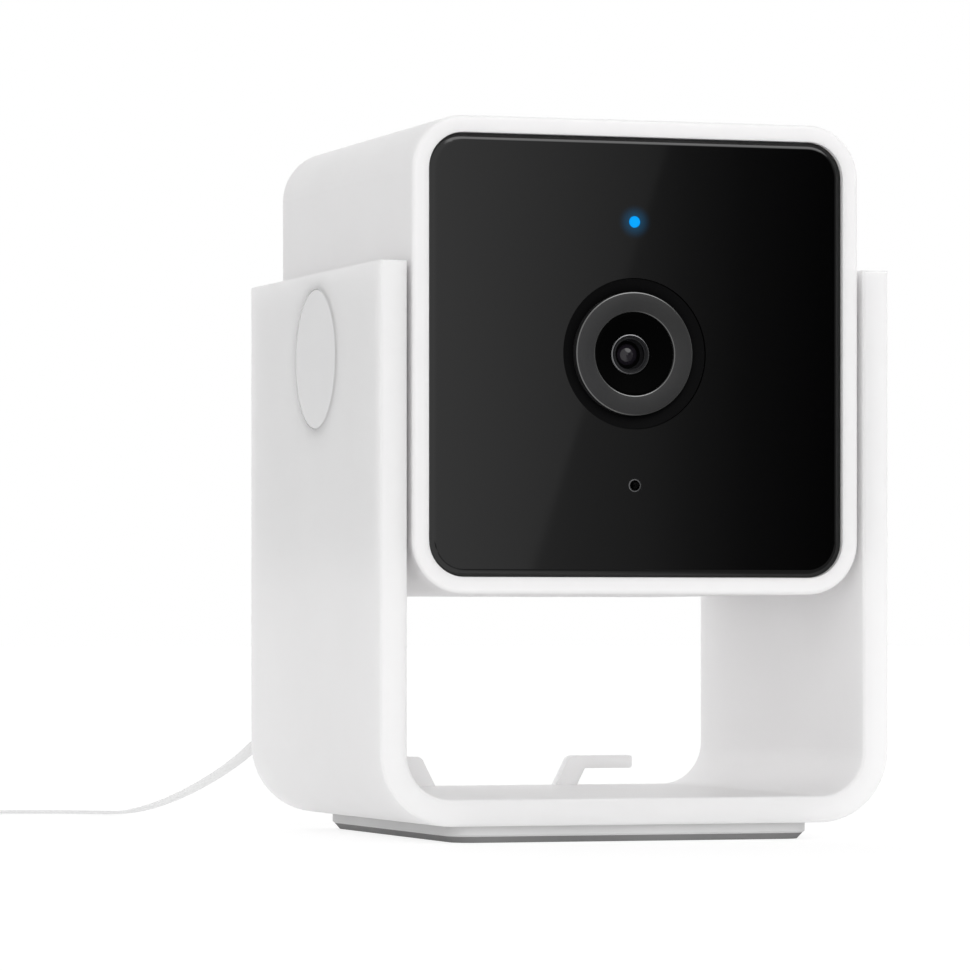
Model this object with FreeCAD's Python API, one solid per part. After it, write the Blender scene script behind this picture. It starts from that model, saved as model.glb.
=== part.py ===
import FreeCAD, Part
import math
import os

# Pet camera: a cube-shaped camera head that tilts between the walls of a U-shaped stand.
# Millimetres. +Z is up, the lens looks along -Y, +X is the viewer's right.
# The origin is on the table, under the centre of the stand.

V = FreeCAD.Vector

# ---------------------------------------------------------------- driving sizes: head
head_w = 53.1             # width, X
head_h = 53.25            # height, Z
head_d = 52.95            # depth, Y
head_corner = 6.0         # outline radius, seen from the front
head_rear_round = 1.0     # rounding of the rear edge
head_front_round = 0.5    # rounding of the front rim's outer edge
shell_wall = 1.9          # also the width of the white bezel
faceplate_thick = 1.6
faceplate_recess = 0.4    # behind the white rim
faceplate_bevel = 0.65    # width of the slope round the window
faceplate_drop = 0.25     # depth of that slope
faceplate_crease = 1.0    # rounding between the window's face and the slope
ledge_w = 1.4             # shelf inside the shell that the window and the front board seat on
ledge_depth = 3.0
cover_thick = 2.0
cover_recess = 0.2
cover_edge = 0.3
fit = 0.05                # clearance of pieces that are pushed or dropped together
slip = 0.1                # clearance of loose covers and plugs
running_fit = 0.05        # clearance of the tilt bearings and the button
past = 1.0                # how far a cutting shape runs past the face it opens
near = 0.001              # two places closer than this are the same place

# ---------------------------------------------------------------- driving sizes: lens
lens_x = -0.3             # lens axis from the middle of the head
lens_rise = 0.4           # lens axis above the middle of the head
dish_r = 8.5
ring_outer_r = 6.95
ring_inner_r = 4.7
ring_front = 0.0          # depth of the ring's face behind the window's face
ring_chamfer = 0.2
ring_seat = 1.55          # depth of the floor that the ring is glued to
barrel_front_r = 2.3
barrel_front_depth = 1.65
barrel_r = 2.95
barrel_shoulder_depth = 5.0
barrel_len = 5.5          # behind the shoulder
dish_rim_depth = 0.25
dish_slope_depth = 1.0
dish_flange_t = 0.75
dish_flange_lip = 1.1     # beyond the hole in the window
cone_rim = 0.3
sleeve_wall = 1.0
sleeve_gap = 0.6          # between the sleeve and the barrel's shoulder
mouth_chamfer = 0.15
aperture_r = 1.2
glass_r = 1.75
glass_t = 1.5
glass_recess = 0.5
glass_crown = 0.55
holder_w = 11.0
holder_wall = 1.5
holder_front = 2.0        # behind the barrel's shoulder
holder_collar = 4.0
sensor_board_w = 18.0
sensor_board_depth = 13.0  # from the window's face to the sensor board
sensor_w = 6.4
sensor_h = 5.2
sensor_t = 0.9
standoff_r = 1.5
standoff_inset = 0.3

# ---------------------------------------------------------------- driving sizes: lamp and microphone
lamp_rise = 14.8          # above the lens axis
lamp_r = 0.62
mic_drop = 14.8           # below the lens axis
mic_port_r = 0.6
mic_w = 3.8
mic_h = 3.0
mic_t = 1.1
mic_gasket_r = 1.4
led_w = 1.6
led_h = 1.2
led_t = 0.6
pipe_collar_r = 1.3
pipe_collar_t = 0.6
infrared_r = 1.5
infrared_x = 14.0
infrared_z = 8.0
infrared_rim = 0.3
infrared_rim_t = 0.6
infrared_gap = 0.4        # between the lamp and the window

# ---------------------------------------------------------------- driving sizes: boards
board_thick = 1.0
board_corner = 1.0
barrel_gap = 1.5          # round the barrel, in the front board
board_gap = 0.3           # round the front board
main_board_thick = 1.2
main_board_gap = 1.6
main_board_front = 28.45  # from the window's face
post_inset = 3.4          # screw axis from the inner walls
post_r = 2.8
block_half = 3.2
screw_r = 1.0
screw_head_r = 1.9
screw_head_t = 1.3
screw_bite = 8.0
screw_end_gap = 0.5
processor_w = 11.0
processor_t = 1.2
processor_x = -9.0
processor_rise = 4.0
spreader_w = 18.0
spreader_t = 1.2
fin_h = 3.0
fin_t = 0.9
fins = 6
shield_x = 11.0
shield_w = 15.0
shield_h = 13.0
shield_t = 2.2
flex_w = 12.0
flex_t = 0.3
flex_sag = 2.5
flex_drop = 15.5
flex_socket_w = 13.2
flex_socket_h = 3.0
flex_socket_t = 1.8
antenna_w = 32.0
antenna_d = 8.0
antenna_t = 0.3
antenna_gap = 4.0         # behind the main board

# ---------------------------------------------------------------- driving sizes: speaker and rear panel
speaker_r = 14.0
speaker_depth = 4.5
speaker_rise = 5.5        # above the middle of the head
gasket_t = 0.8
gasket_w = 2.2
basket_wall = 1.4
basket_web = 1.0
basket_hole_r = 5.0
basket_mouth = 0.6
basket_rim = 1.6
cone_t = 0.35
dust_cap_r = 3.2
surround_w = 1.6
cone_rim_in = 0.8         # depths of the cone's parts behind the gasket
cone_foot_in = 2.6
cap_foot_in = 2.1
cap_top_in = 1.6
magnet_r = 8.0
magnet_t = 4.0
grille_pitch = 3.3
grille_hole_r = 0.75
grille_rings = 2
port_drop = 18.475        # below the middle of the head
plug_w = 10.6
plug_h = 6.6
plug_len = 11.2
plug_depth_in_cover = 3.8
plug_gap = 0.4
plug_shell_w = 6.8
plug_shell_h = 1.75
plug_shell_len = 6.3
plug_shell_wall = 0.3
plug_corner = 1.5
plug_edge = 0.6
shell_corner = 0.35
cup_wall = 1.5
cup_shell_gap = 0.4       # round the plug's metal shell, in the cup's floor
port_shelf_t = 1.2
port_board_w = 26.0
port_board_d = 12.0
socket_wall = 0.35
socket_len = 5.6
socket_back = 0.4
switch_w = 4.0
switch_h = 3.6
switch_depth = 3.5
switch_ahead = 5.6        # from the cup's floor to the front of the switch
switch_well_r = 0.9
switch_well_depth = 1.6
button_inset = 2.5        # from the side of the port board
button_r = 1.2
button_travel = 0.5
button_flange_r = 2.2
button_flange_t = 0.8
button_nib_r = 0.7
button_nib_in = 0.9       # how far the nib stands in the switch's well
button_end_gap = 0.4      # left between the pressed stem and the switch

# ---------------------------------------------------------------- driving sizes: pivots
pivot_ahead = 0.625       # in front of the middle of the head
pivot_rise = 0.525        # above the middle of the head
hub_flange_r = 6.0
hub_flange_t = 1.2
hub_neck_r = 3.6
trunnion_r = 3.0
hub_play = 0.04
web_t = 1.2               # stand wall left behind the cap's pocket
cap_r = 8.0
cap_t = 0.8
cap_skirt_t = 0.8
cap_edge = 0.12
pivot_screw_r = 1.25
pivot_screw_head_r = 4.4
pivot_screw_head_t = 0.6
pivot_screw_out = 0.6     # how far the screw's tip shows inside the hub
spring_washer_t = 0.28
spring_washer_w = 2.4
spring_washer_gap = 0.2
spring_washer_play = 0.02
washer_t = 0.5

# ---------------------------------------------------------------- driving sizes: stand and foot
side_gap = 0.6            # between the head and each wall
stand_wall = 3.1
stand_h = 62.8
stand_floor = 3.0
stand_outer_corner = 8.2
stand_inner_corner = 5.1
stand_front_round = 0.35
stand_rear_round = 0.9
rear_setback = 0.75
under_head = 22.85        # stand floor to the underside of the head
hook_base_in = 7.7        # from the middle to the hook's inner edge, at the floor
hook_base_w = 2.7
hook_lean = 1.8
hook_reach = 17.5
hook_slot = 2.0
hook_bar = 1.55
hook_y_t = 1.8
hook_from_rear = 0.8
hook_sunk = 1.0           # how far the hook runs into the floor
hook_elbow_round = 1.0
hook_tip_round = 0.4
foot_w = 42.9
foot_front = 1.6          # behind the stand's front edge
foot_rear = 3.2           # ahead of the stand's rear edge
foot_corner = 2.5
plate_t = 1.2
plate_bevel = 0.2         # round the plate's lower edge
pad_t = 0.7
pad_bevel = 0.5           # inward, over the pad's thickness
foot_screw_inset = 6.0
foot_screw_r = 1.0
foot_screw_head_r = 1.9
foot_screw_bite = 2.1

# ---------------------------------------------------------------- driving sizes: flat cable
cable_w = 3.6
cable_t = 0.4
cable_lift = 0.05         # above the table
coil_mean_r = 20.5
coil_build = 11.0
coil_layers_h = 7.6
coil_x = -82.0
coil_y = 71.6
coil_start = 60.5         # where on the coil the cable arrives, degrees from +X
coil_leave = 190.0        # where its end leaves
tail_len = 30.0
tail_end_share = 0.3      # of the tail, for its first and last runs
boot_w = 6.2
boot_h = 3.6
boot_cover = 0.3          # of the boot round the cable at its thin end
tie_w = 6.0
tie_t = 0.25
tie_angle = 300.0
a_plug_w = 15.6
a_plug_h = 8.0
a_plug_len = 26.0
a_plug_taper = 7.0
a_plug_corner = 1.5
a_plug_edge = 0.8
a_shell_w = 12.0
a_shell_h = 4.5
a_shell_len = 18.5
a_shell_wall = 0.35
a_shell_window = 2.2
a_shell_window_x = 2.9
a_shell_window_in = 7.2   # from the open end

# ---------------------------------------------------------------- places worked out from the sizes
foot_h = plate_t + pad_t
floor_top = foot_h + stand_floor
stand_in_w = head_w + 2 * side_gap
stand_w = stand_in_w + 2 * stand_wall
stand_d = head_d + rear_setback
stand_front = -stand_d / 2
stand_rear = stand_d / 2
stand_top = foot_h + stand_h
head_front = stand_front
head_rear = head_front + head_d
head_mid_y = (head_front + head_rear) / 2
head_mid_z = floor_top + under_head + head_h / 2
pivot_y = head_mid_y - pivot_ahead
pivot_z = head_mid_z + pivot_rise
lens_z = head_mid_z + lens_rise
lamp_z = lens_z + lamp_rise
mic_z = lens_z - mic_drop
inner_w = head_w - 2 * shell_wall
inner_h = head_h - 2 * shell_wall
inner_corner = head_corner - shell_wall
window_y = head_front + faceplate_recess
window_back = window_y + faceplate_thick
ledge_back = window_back + ledge_depth
main_board_y = window_y + main_board_front
main_board_back = main_board_y + main_board_thick
cover_out = head_rear - cover_recess
cover_in = cover_out - cover_thick
post_x = inner_w / 2 - post_inset
post_z = inner_h / 2 - post_inset
speaker_z = head_mid_z + speaker_rise
port_z = head_mid_z - port_drop
button_x = port_board_w / 2 - button_inset
sensor_board_y = window_y + sensor_board_depth
plug_front = cover_out - plug_depth_in_cover
plug_back = plug_front + plug_len
cup_floor = plug_front - slip
cup_back = cup_floor - cup_wall
port_board_top = port_z - plug_shell_h / 2 - slip - socket_wall
foot_d = stand_d - foot_front - foot_rear
foot_y = stand_front + foot_front + foot_d / 2
under_screw_head = cover_out - screw_head_t - cover_recess
switch_face = cup_back - switch_ahead + switch_depth
web_in = stand_in_w / 2
web_out = web_in + web_t
hub_end = web_out + spring_washer_t + hub_play
corners = [(sx, sz) for sx in (-1, 1) for sz in (-1, 1)]


# ---------------------------------------------------------------- shape helpers
def box(x0, x1, y0, y1, z0, z1):
    return Part.makeBox(x1 - x0, y1 - y0, z1 - z0, V(x0, y0, z0))


def outline(w, h, r):
    """Closed outline of a rectangle with round corners, in the XY plane, about the origin."""
    a, b = w / 2, h / 2
    k = r * (1 - math.sqrt(0.5))
    edges = []
    for i in range(4):
        sx, sy = [(1, 1), (-1, 1), (-1, -1), (1, -1)][i]
        nx, ny = [(-1, 1), (-1, -1), (1, -1), (1, 1)][i]
        first, last = (V(sx * a, sy * (b - r), 0), V(sx * (a - r), sy * b, 0))
        if i % 2:
            first, last = last, first
        edges.append(Part.Arc(first, V(sx * (a - k), sy * (b - k), 0), last).toShape())
        following = V(nx * (a - r), ny * b, 0) if i % 2 == 0 else V(nx * a, ny * (b - r), 0)
        edges.append(Part.LineSegment(last, following).toShape())
    return Part.Wire(edges)


def outline_y(w, h, r, y, x=0.0, z=0.0):
    """Round-cornered outline across the Y axis, about (x, z)."""
    wire = outline(w, h, r)
    wire.rotate(V(0, 0, 0), V(1, 0, 0), 90)
    wire.translate(V(x, y, z))
    return wire


def block_y(w, h, r, y0, y1, x=0.0, z=0.0):
    """Round-cornered block whose outline is seen along Y."""
    return Part.Face(outline_y(w, h, r, y0, x, z)).extrude(V(0, y1 - y0, 0))


def tapered_z(w0, d0, r0, z0, w1, d1, r1, z1, y):
    """Round-cornered plate with sloping sides, from z0 up to z1."""
    low, high = outline(w0, d0, r0), outline(w1, d1, r1)
    low.translate(V(0, y, z0))
    high.translate(V(0, y, z1))
    return Part.makeLoft([low, high], True, True)


def rod(axis, r, start, length, a=0.0, b=0.0):
    """Cylinder along axis from start; a and b are its place on the other two axes, in X, Y, Z order."""
    if axis == "x":
        return Part.makeCylinder(r, length, V(start, a, b), V(1, 0, 0))
    if axis == "y":
        return Part.makeCylinder(r, length, V(a, start, b), V(0, 1, 0))
    return Part.makeCylinder(r, length, V(a, b, start), V(0, 0, 1))


def turned_y(profile, x, y, z):
    """Solid of revolution about the line along Y through (x, z); profile is (radius, depth) from y."""
    points = [V(r, d, 0) for r, d in profile]
    solid = Part.Face(Part.makePolygon(points + points[:1])).revolve(V(0, 0, 0), V(0, 1, 0), 360)
    solid.translate(V(x, y, z))
    return solid


def ring_x(r_out, r_in, x, length):
    """Ring about the tilt axis."""
    return rod("x", r_out, x, length, pivot_y, pivot_z).cut(rod("x", r_in, x, length, pivot_y, pivot_z))


def both_sides(shape):
    """The right-hand shape and its mirror image, as one group of solids."""
    return Part.makeCompound([shape, shape.mirror(V(0, 0, 0), V(1, 0, 0))])


def edges_at(shape, axis, place):
    """Edges that lie in one plane across an axis."""
    found = []
    for edge in shape.Edges:
        bounds = edge.BoundBox
        low, high = {"x": (bounds.XMin, bounds.XMax), "y": (bounds.YMin, bounds.YMax),
                     "z": (bounds.ZMin, bounds.ZMax)}[axis]
        if abs(low - place) < near and abs(high - place) < near:
            found.append(edge)
    return found


def posts(r, y0, y1):
    """Four rods along Y on the screw axes near the corners of the head."""
    return [rod("y", r, y0, y1 - y0, sx * post_x, head_mid_z + sz * post_z) for sx, sz in corners]


# ---------------------------------------------------------------- head: housing
def head_shell():
    body = block_y(head_w, head_h, head_corner, head_front, head_rear, 0, head_mid_z)
    body = body.makeFillet(head_rear_round, edges_at(body, "y", head_rear))
    body = body.makeFillet(head_front_round, edges_at(body, "y", head_front))
    cavity = block_y(inner_w, inner_h, inner_corner, head_front - past, head_rear + past, 0,
                     head_mid_z)
    shell = body.cut(cavity)
    shelf = block_y(inner_w + shell_wall, inner_h + shell_wall, inner_corner, window_back, ledge_back,
                    0, head_mid_z)
    shelf = shelf.cut(block_y(inner_w - 2 * ledge_w, inner_h - 2 * ledge_w, inner_corner - ledge_w,
                              window_back - past, ledge_back + past, 0, head_mid_z))
    shell = shell.fuse(shelf)
    reach = block_y(inner_w + shell_wall, inner_h + shell_wall, inner_corner + shell_wall / 2,
                    window_back, main_board_y, 0, head_mid_z)
    for sx, sz in corners:
        x0, x1 = sorted((sx * (post_x - block_half), sx * head_w / 2))
        z0, z1 = sorted((head_mid_z + sz * (post_z - block_half), head_mid_z + sz * head_h / 2))
        shell = shell.fuse(box(x0, x1, window_back, main_board_y, z0, z1).common(reach))
    for hole in posts(screw_r + fit, main_board_y - screw_bite, main_board_y):
        shell = shell.cut(hole)
    for side in (-1, 1):
        shell = shell.cut(rod("x", hub_neck_r + fit, min(side * inner_w / 2, side * head_w / 2) - past,
                              shell_wall + 2 * past, pivot_y, pivot_z))
    return shell.removeSplitter()


def rear_cover():
    cover = block_y(inner_w - 2 * slip, inner_h - 2 * slip, inner_corner - slip, cover_in, cover_out,
                    0, head_mid_z)
    cover = cover.makeFillet(cover_edge, edges_at(cover, "y", cover_out))
    cup_w, cup_h = plug_w + 2 * plug_gap, plug_h + 2 * plug_gap
    cup_corner = plug_corner + plug_gap
    cover = cover.fuse(block_y(cup_w + 2 * cup_wall, cup_h + 2 * cup_wall, cup_corner + cup_wall / 2,
                               cup_back, cover_in, 0, port_z))
    shelf_top = port_board_top - board_thick
    cover = cover.fuse(box(-port_board_w / 2, port_board_w / 2, cup_back - port_board_d, cup_back,
                           shelf_top - port_shelf_t, shelf_top))
    cover = cover.fuse(posts(post_r, main_board_back, cover_in))
    cover = cover.cut(block_y(cup_w, cup_h, cup_corner, cup_floor, cover_out + past, 0, port_z))
    cover = cover.cut(block_y(plug_shell_w + 2 * cup_shell_gap, plug_shell_h + 2 * cup_shell_gap,
                              shell_corner + cup_shell_gap / 2, cup_back - past, cup_floor + past, 0, port_z))
    cover = cover.cut(rod("y", button_r + running_fit, cover_in - past, cover_thick + 2 * past, button_x,
                          port_z))
    for hole in posts(screw_r + slip, main_board_back - past, cover_out + past):
        cover = cover.cut(hole)
    for hole in posts(screw_head_r + slip, under_screw_head, cover_out + past):
        cover = cover.cut(hole)
    for hole in grille_holes():
        cover = cover.cut(hole)
    return cover.removeSplitter()


def grille_holes():
    """Sound holes: one in the middle, then rings of 6 and 12."""
    holes = [rod("y", grille_hole_r, cover_in - past, cover_thick + 2 * past, 0, speaker_z)]
    for ring in range(1, grille_rings + 1):
        for i in range(6 * ring):
            angle = 2 * math.pi * i / (6 * ring)
            holes.append(rod("y", grille_hole_r, cover_in - past, cover_thick + 2 * past,
                             ring * grille_pitch * math.cos(angle),
                             speaker_z + ring * grille_pitch * math.sin(angle)))
    return holes


def cover_screws():
    """Four long screws from the back panel through the main board into the shell's blocks."""
    tip = main_board_y - screw_bite + screw_end_gap
    shanks = posts(screw_r, tip, under_screw_head)
    heads = posts(screw_head_r, under_screw_head, under_screw_head + screw_head_t)
    return Part.makeCompound([shank.fuse(head).removeSplitter() for shank, head in zip(shanks, heads)])


def faceplate():
    w, h, r = inner_w - 2 * fit, inner_h - 2 * fit, inner_corner - fit
    inset = faceplate_bevel
    straight = window_y + faceplate_drop
    front = outline_y(w - 2 * inset, h - 2 * inset, r - inset, window_y, 0, head_mid_z)
    slope = Part.makeLoft([front, outline_y(w, h, r, straight, 0, head_mid_z)], True, True)
    plate = slope.fuse(block_y(w, h, r, straight, window_back, 0, head_mid_z)).removeSplitter()
    plate = plate.makeFillet(faceplate_crease, edges_at(plate, "y", window_y))
    for r, z in ((dish_r, lens_z), (lamp_r + fit, lamp_z), (mic_port_r, mic_z)):
        plate = plate.cut(rod("y", r, window_y - past, faceplate_thick + 2 * past, lens_x, z))
    return plate


# ---------------------------------------------------------------- head: lens
def lens_dish():
    """Recess round the lens: outer slope, seat of the grey ring, inner cone and a sleeve for the barrel."""
    sleeve = barrel_front_r + fit
    sleeve_end = barrel_shoulder_depth - sleeve_gap
    flange_front = faceplate_thick + fit
    flange_back = flange_front + dish_flange_t
    flange_r = dish_r + dish_flange_lip
    rim_depth = ring_front + cone_rim
    return turned_y([(dish_r - fit, dish_rim_depth), (ring_outer_r + fit, dish_slope_depth),
                     (ring_outer_r + fit, ring_seat), (ring_inner_r - fit, ring_seat),
                     (ring_inner_r - fit, rim_depth), (ring_inner_r - cone_rim, rim_depth),
                     (sleeve, barrel_front_depth - slip), (sleeve, sleeve_end),
                     (sleeve + sleeve_wall, sleeve_end), (sleeve + sleeve_wall, flange_back),
                     (flange_r, flange_back), (flange_r, flange_front), (dish_r - fit, flange_front)],
                    lens_x, window_y, lens_z)


def lens_ring():
    """Flat grey ring with a chamfer round both edges of its face."""
    shoulder = ring_front + ring_chamfer
    return turned_y([(ring_outer_r, ring_seat), (ring_outer_r, shoulder),
                     (ring_outer_r - ring_chamfer, ring_front), (ring_inner_r + ring_chamfer, ring_front),
                     (ring_inner_r, shoulder), (ring_inner_r, ring_seat)], lens_x, window_y, lens_z)


def lens_barrel():
    back = barrel_shoulder_depth + barrel_len
    bore = glass_r + fit
    bore_end = barrel_front_depth + glass_recess + glass_t
    return turned_y([(bore, barrel_front_depth + mouth_chamfer), (bore + mouth_chamfer, barrel_front_depth),
                     (barrel_front_r, barrel_front_depth), (barrel_front_r, barrel_shoulder_depth),
                     (barrel_r, barrel_shoulder_depth), (barrel_r, back), (aperture_r, back),
                     (aperture_r, bore_end), (bore, bore_end)], lens_x, window_y, lens_z)


def front_lens():
    """Meniscus with a crowned front, seated in the mouth of the barrel."""
    depth = barrel_front_depth + glass_recess
    crown_r = (glass_r ** 2 + glass_crown ** 2) / (2 * glass_crown)
    lens = rod("y", glass_r, window_y + depth - glass_crown, glass_t + glass_crown, lens_x, lens_z)
    ball = Part.makeSphere(crown_r, V(lens_x, window_y + depth - glass_crown + crown_r, lens_z))
    back = rod("y", glass_r, window_y + depth, glass_t, lens_x, lens_z)
    return lens.common(ball).fuse(back).removeSplitter()


def lens_holder():
    y0 = window_y + barrel_shoulder_depth + holder_front
    holder = block_y(holder_w, holder_w, board_corner, y0, sensor_board_y, lens_x, lens_z)
    holder = holder.cut(rod("y", barrel_r + fit, y0 - past, holder_collar + 2 * past, lens_x, lens_z))
    half = holder_w / 2 - holder_wall
    return holder.cut(box(lens_x - half, lens_x + half, y0 + holder_collar, sensor_board_y + past,
                          lens_z - half, lens_z + half))


def sensor_board():
    return block_y(sensor_board_w, sensor_board_w, board_corner, sensor_board_y,
                   sensor_board_y + board_thick, lens_x, lens_z)


def image_sensor():
    return box(lens_x - sensor_w / 2, lens_x + sensor_w / 2, sensor_board_y - sensor_t, sensor_board_y,
               lens_z - sensor_h / 2, lens_z + sensor_h / 2)


def board_standoffs():
    spot = sensor_board_w / 2 - standoff_r - standoff_inset
    start = ledge_back + board_thick
    return Part.makeCompound([rod("y", standoff_r, start, sensor_board_y - start, lens_x + sx * spot,
                                  lens_z + sz * spot) for sx, sz in corners])


# ---------------------------------------------------------------- head: front board and what it carries
def front_board():
    board = block_y(inner_w - 2 * board_gap, inner_h - 2 * board_gap, inner_corner - board_gap,
                    ledge_back, ledge_back + board_thick, 0, head_mid_z)
    notch = block_half + board_gap
    for sx, sz in corners:
        x0, x1 = sorted((sx * (post_x - notch), sx * head_w))
        z0, z1 = sorted((head_mid_z + sz * (post_z - notch), head_mid_z + sz * head_h))
        board = board.cut(box(x0, x1, ledge_back - past, ledge_back + board_thick + past, z0, z1))
    hole = rod("y", barrel_r + barrel_gap, ledge_back - past, board_thick + 2 * past, lens_x, lens_z)
    return board.cut(hole)


def infrared_leds():
    """Four night lamps, each a round body on a wider rim."""
    lamps = []
    body_len = ledge_depth - infrared_gap
    for sx, sz in corners:
        x, z = sx * infrared_x, head_mid_z + sz * infrared_z
        rim = rod("y", infrared_r + infrared_rim, ledge_back - infrared_rim_t, infrared_rim_t, x, z)
        lamps.append(rod("y", infrared_r, ledge_back - body_len, body_len, x, z).fuse(rim).removeSplitter())
    return Part.makeCompound(lamps)


def status_led():
    return box(lens_x - led_w / 2, lens_x + led_w / 2, ledge_back - led_t, ledge_back, lamp_z - led_h / 2,
               lamp_z + led_h / 2)


def light_pipe():
    """Clear pin from the lamp to the face of the window, with a collar behind the window."""
    pipe = rod("y", lamp_r, window_y, ledge_back - led_t - window_y, lens_x, lamp_z)
    collar = rod("y", pipe_collar_r, window_back + fit, pipe_collar_t, lens_x, lamp_z)
    return pipe.fuse(collar).removeSplitter()


def microphone():
    return box(lens_x - mic_w / 2, lens_x + mic_w / 2, ledge_back - mic_t, ledge_back, mic_z - mic_h / 2,
               mic_z + mic_h / 2)


def mic_gasket():
    length = ledge_depth - mic_t
    outer = rod("y", mic_gasket_r, window_back, length, lens_x, mic_z)
    return outer.cut(rod("y", mic_port_r, window_back, length, lens_x, mic_z))


# ---------------------------------------------------------------- head: main board and what it carries
def main_board():
    board = block_y(inner_w - 2 * main_board_gap, inner_h - 2 * main_board_gap, 2 * board_corner,
                    main_board_y, main_board_back, 0, head_mid_z)
    for hole in posts(screw_r + slip, main_board_y - past, main_board_back + past):
        board = board.cut(hole)
    return board


def processor():
    z = head_mid_z + processor_rise
    half = processor_w / 2
    return box(processor_x - half, processor_x + half, main_board_back, main_board_back + processor_t,
               z - half, z + half)


def heat_spreader():
    """Finned aluminium plate on the processor."""
    z = head_mid_z + processor_rise
    half = spreader_w / 2
    y0 = main_board_back + processor_t
    y1 = y0 + spreader_t
    plate = box(processor_x - half, processor_x + half, y0, y1, z - half, z + half)
    for i in range(fins):
        x = processor_x - half + i * (spreader_w - fin_t) / (fins - 1)
        plate = plate.fuse(box(x, x + fin_t, y1, y1 + fin_h, z - half, z + half))
    return plate.removeSplitter()


def radio_shield():
    return block_y(shield_w, shield_h, board_corner, main_board_back, main_board_back + shield_t, shield_x,
                   head_mid_z + processor_rise)


def flex_sockets():
    z = head_mid_z - flex_drop
    a, b = flex_socket_w / 2, flex_socket_h / 2
    return Part.makeCompound([box(-a, a, y, y + flex_socket_t, z - b, z + b)
                              for y in (ledge_back + board_thick, main_board_y - flex_socket_t)])


def flex_cable():
    """Flat ribbon that sags a little between its two sockets."""
    z, half = head_mid_z - flex_drop, flex_t / 2
    y0, y1 = ledge_back + board_thick + flex_socket_t, main_board_y - flex_socket_t
    middle = (y0 + y1) / 2
    low = [V(0, y0, z - half), V(0, middle, z - flex_sag - half), V(0, y1, z - half)]
    high = [V(0, y1, z + half), V(0, middle, z - flex_sag + half), V(0, y0, z + half)]
    wire = Part.Wire([Part.Arc(*low).toShape(), Part.LineSegment(low[2], high[0]).toShape(),
                      Part.Arc(*high).toShape(), Part.LineSegment(high[2], low[0]).toShape()])
    wire.translate(V(-flex_w / 2, 0, 0))
    return Part.Face(wire).extrude(V(flex_w, 0, 0))


def wifi_antenna():
    z1 = head_mid_z + inner_h / 2
    y0 = main_board_back + antenna_gap
    return box(-antenna_w / 2, antenna_w / 2, y0, y0 + antenna_d, z1 - antenna_t, z1)


# ---------------------------------------------------------------- head: speaker
speaker_front = cover_in - gasket_t


def speaker_gasket():
    outer = rod("y", speaker_r, speaker_front, gasket_t, 0, speaker_z)
    return outer.cut(rod("y", speaker_r - gasket_w, speaker_front, gasket_t, 0, speaker_z))


def speaker_frame():
    web_y, mouth_y = -speaker_depth + basket_web, -2 * basket_mouth
    mouth_r = speaker_r - basket_rim
    return turned_y([(speaker_r, 0), (speaker_r, mouth_y), (speaker_r - basket_wall, -speaker_depth),
                     (basket_hole_r, -speaker_depth), (basket_hole_r, web_y),
                     (speaker_r - 2 * basket_wall, web_y), (mouth_r, mouth_y), (mouth_r, 0)],
                    0, speaker_front, speaker_z)


def speaker_cone():
    """Thin cone with a surround and a dust cap, hung from the frame's mouth."""
    edge = speaker_r - basket_rim
    inner = edge - surround_w
    cap_edge_r = dust_cap_r - 2 * cone_t
    front = [(0, -cap_top_in), (cap_edge_r, -cap_foot_in), (dust_cap_r, -cone_foot_in), (inner, -cone_rim_in),
             (edge - surround_w / 2, -cone_rim_in + cone_t), (edge, -cone_rim_in)]
    back = [(r, y - cone_t) for r, y in reversed(front)]
    return turned_y(front + back, 0, speaker_front, speaker_z)


def speaker_magnet():
    return rod("y", magnet_r, speaker_front - speaker_depth - magnet_t, magnet_t, 0, speaker_z)


# ---------------------------------------------------------------- head: power socket and reset button
def port_board():
    return box(-port_board_w / 2, port_board_w / 2, cup_back - port_board_d, cup_back,
               port_board_top - board_thick, port_board_top)


def usb_socket():
    w, h = plug_shell_w + 2 * slip, plug_shell_h + 2 * slip
    outer = block_y(w + 2 * socket_wall, h + 2 * socket_wall, shell_corner + socket_wall,
                    cup_back - socket_len, cup_back, 0, port_z)
    return outer.cut(block_y(w, h, shell_corner, cup_back - socket_len + socket_back, cup_back + past,
                             0, port_z))


def reset_switch():
    """Push switch with a round well that the button's nib enters."""
    body = box(button_x - switch_w / 2, button_x + switch_w / 2, switch_face - switch_depth, switch_face,
               port_board_top, port_board_top + switch_h)
    return body.cut(rod("y", switch_well_r, switch_face - switch_well_depth, switch_well_depth + past,
                        button_x, port_z))


def reset_button():
    """Pin through the back panel, with a flange inside and a nib in the switch's well."""
    stem_y = switch_face + button_travel + button_end_gap
    flange_y = cover_in - fit - button_flange_t
    nib_y = switch_face - button_nib_in
    stem = rod("y", button_r, stem_y, cover_out - stem_y, button_x, port_z)
    flange = rod("y", button_flange_r, flange_y, button_flange_t, button_x, port_z)
    nib = rod("y", button_nib_r, nib_y, stem_y - nib_y, button_x, port_z)
    return stem.fuse([flange, nib]).removeSplitter()


# ---------------------------------------------------------------- pivots, drawn on the right side
def pivot_hubs():
    """Flanged trunnion through the shell's wall and the stand's web, bored for its screw."""
    hub = rod("x", hub_flange_r, inner_w / 2 - hub_flange_t, hub_flange_t, pivot_y, pivot_z)
    hub = hub.fuse(rod("x", hub_neck_r, inner_w / 2, shell_wall, pivot_y, pivot_z))
    hub = hub.fuse(rod("x", trunnion_r, head_w / 2, hub_end - head_w / 2, pivot_y, pivot_z))
    hub = hub.cut(rod("x", pivot_screw_r + fit, inner_w / 2 - hub_flange_t, stand_w, pivot_y, pivot_z))
    return both_sides(hub.removeSplitter())


def friction_washers():
    play = (side_gap - washer_t) / 2
    return both_sides(ring_x(cap_r, hub_neck_r, head_w / 2 + play / 2, washer_t))


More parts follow.
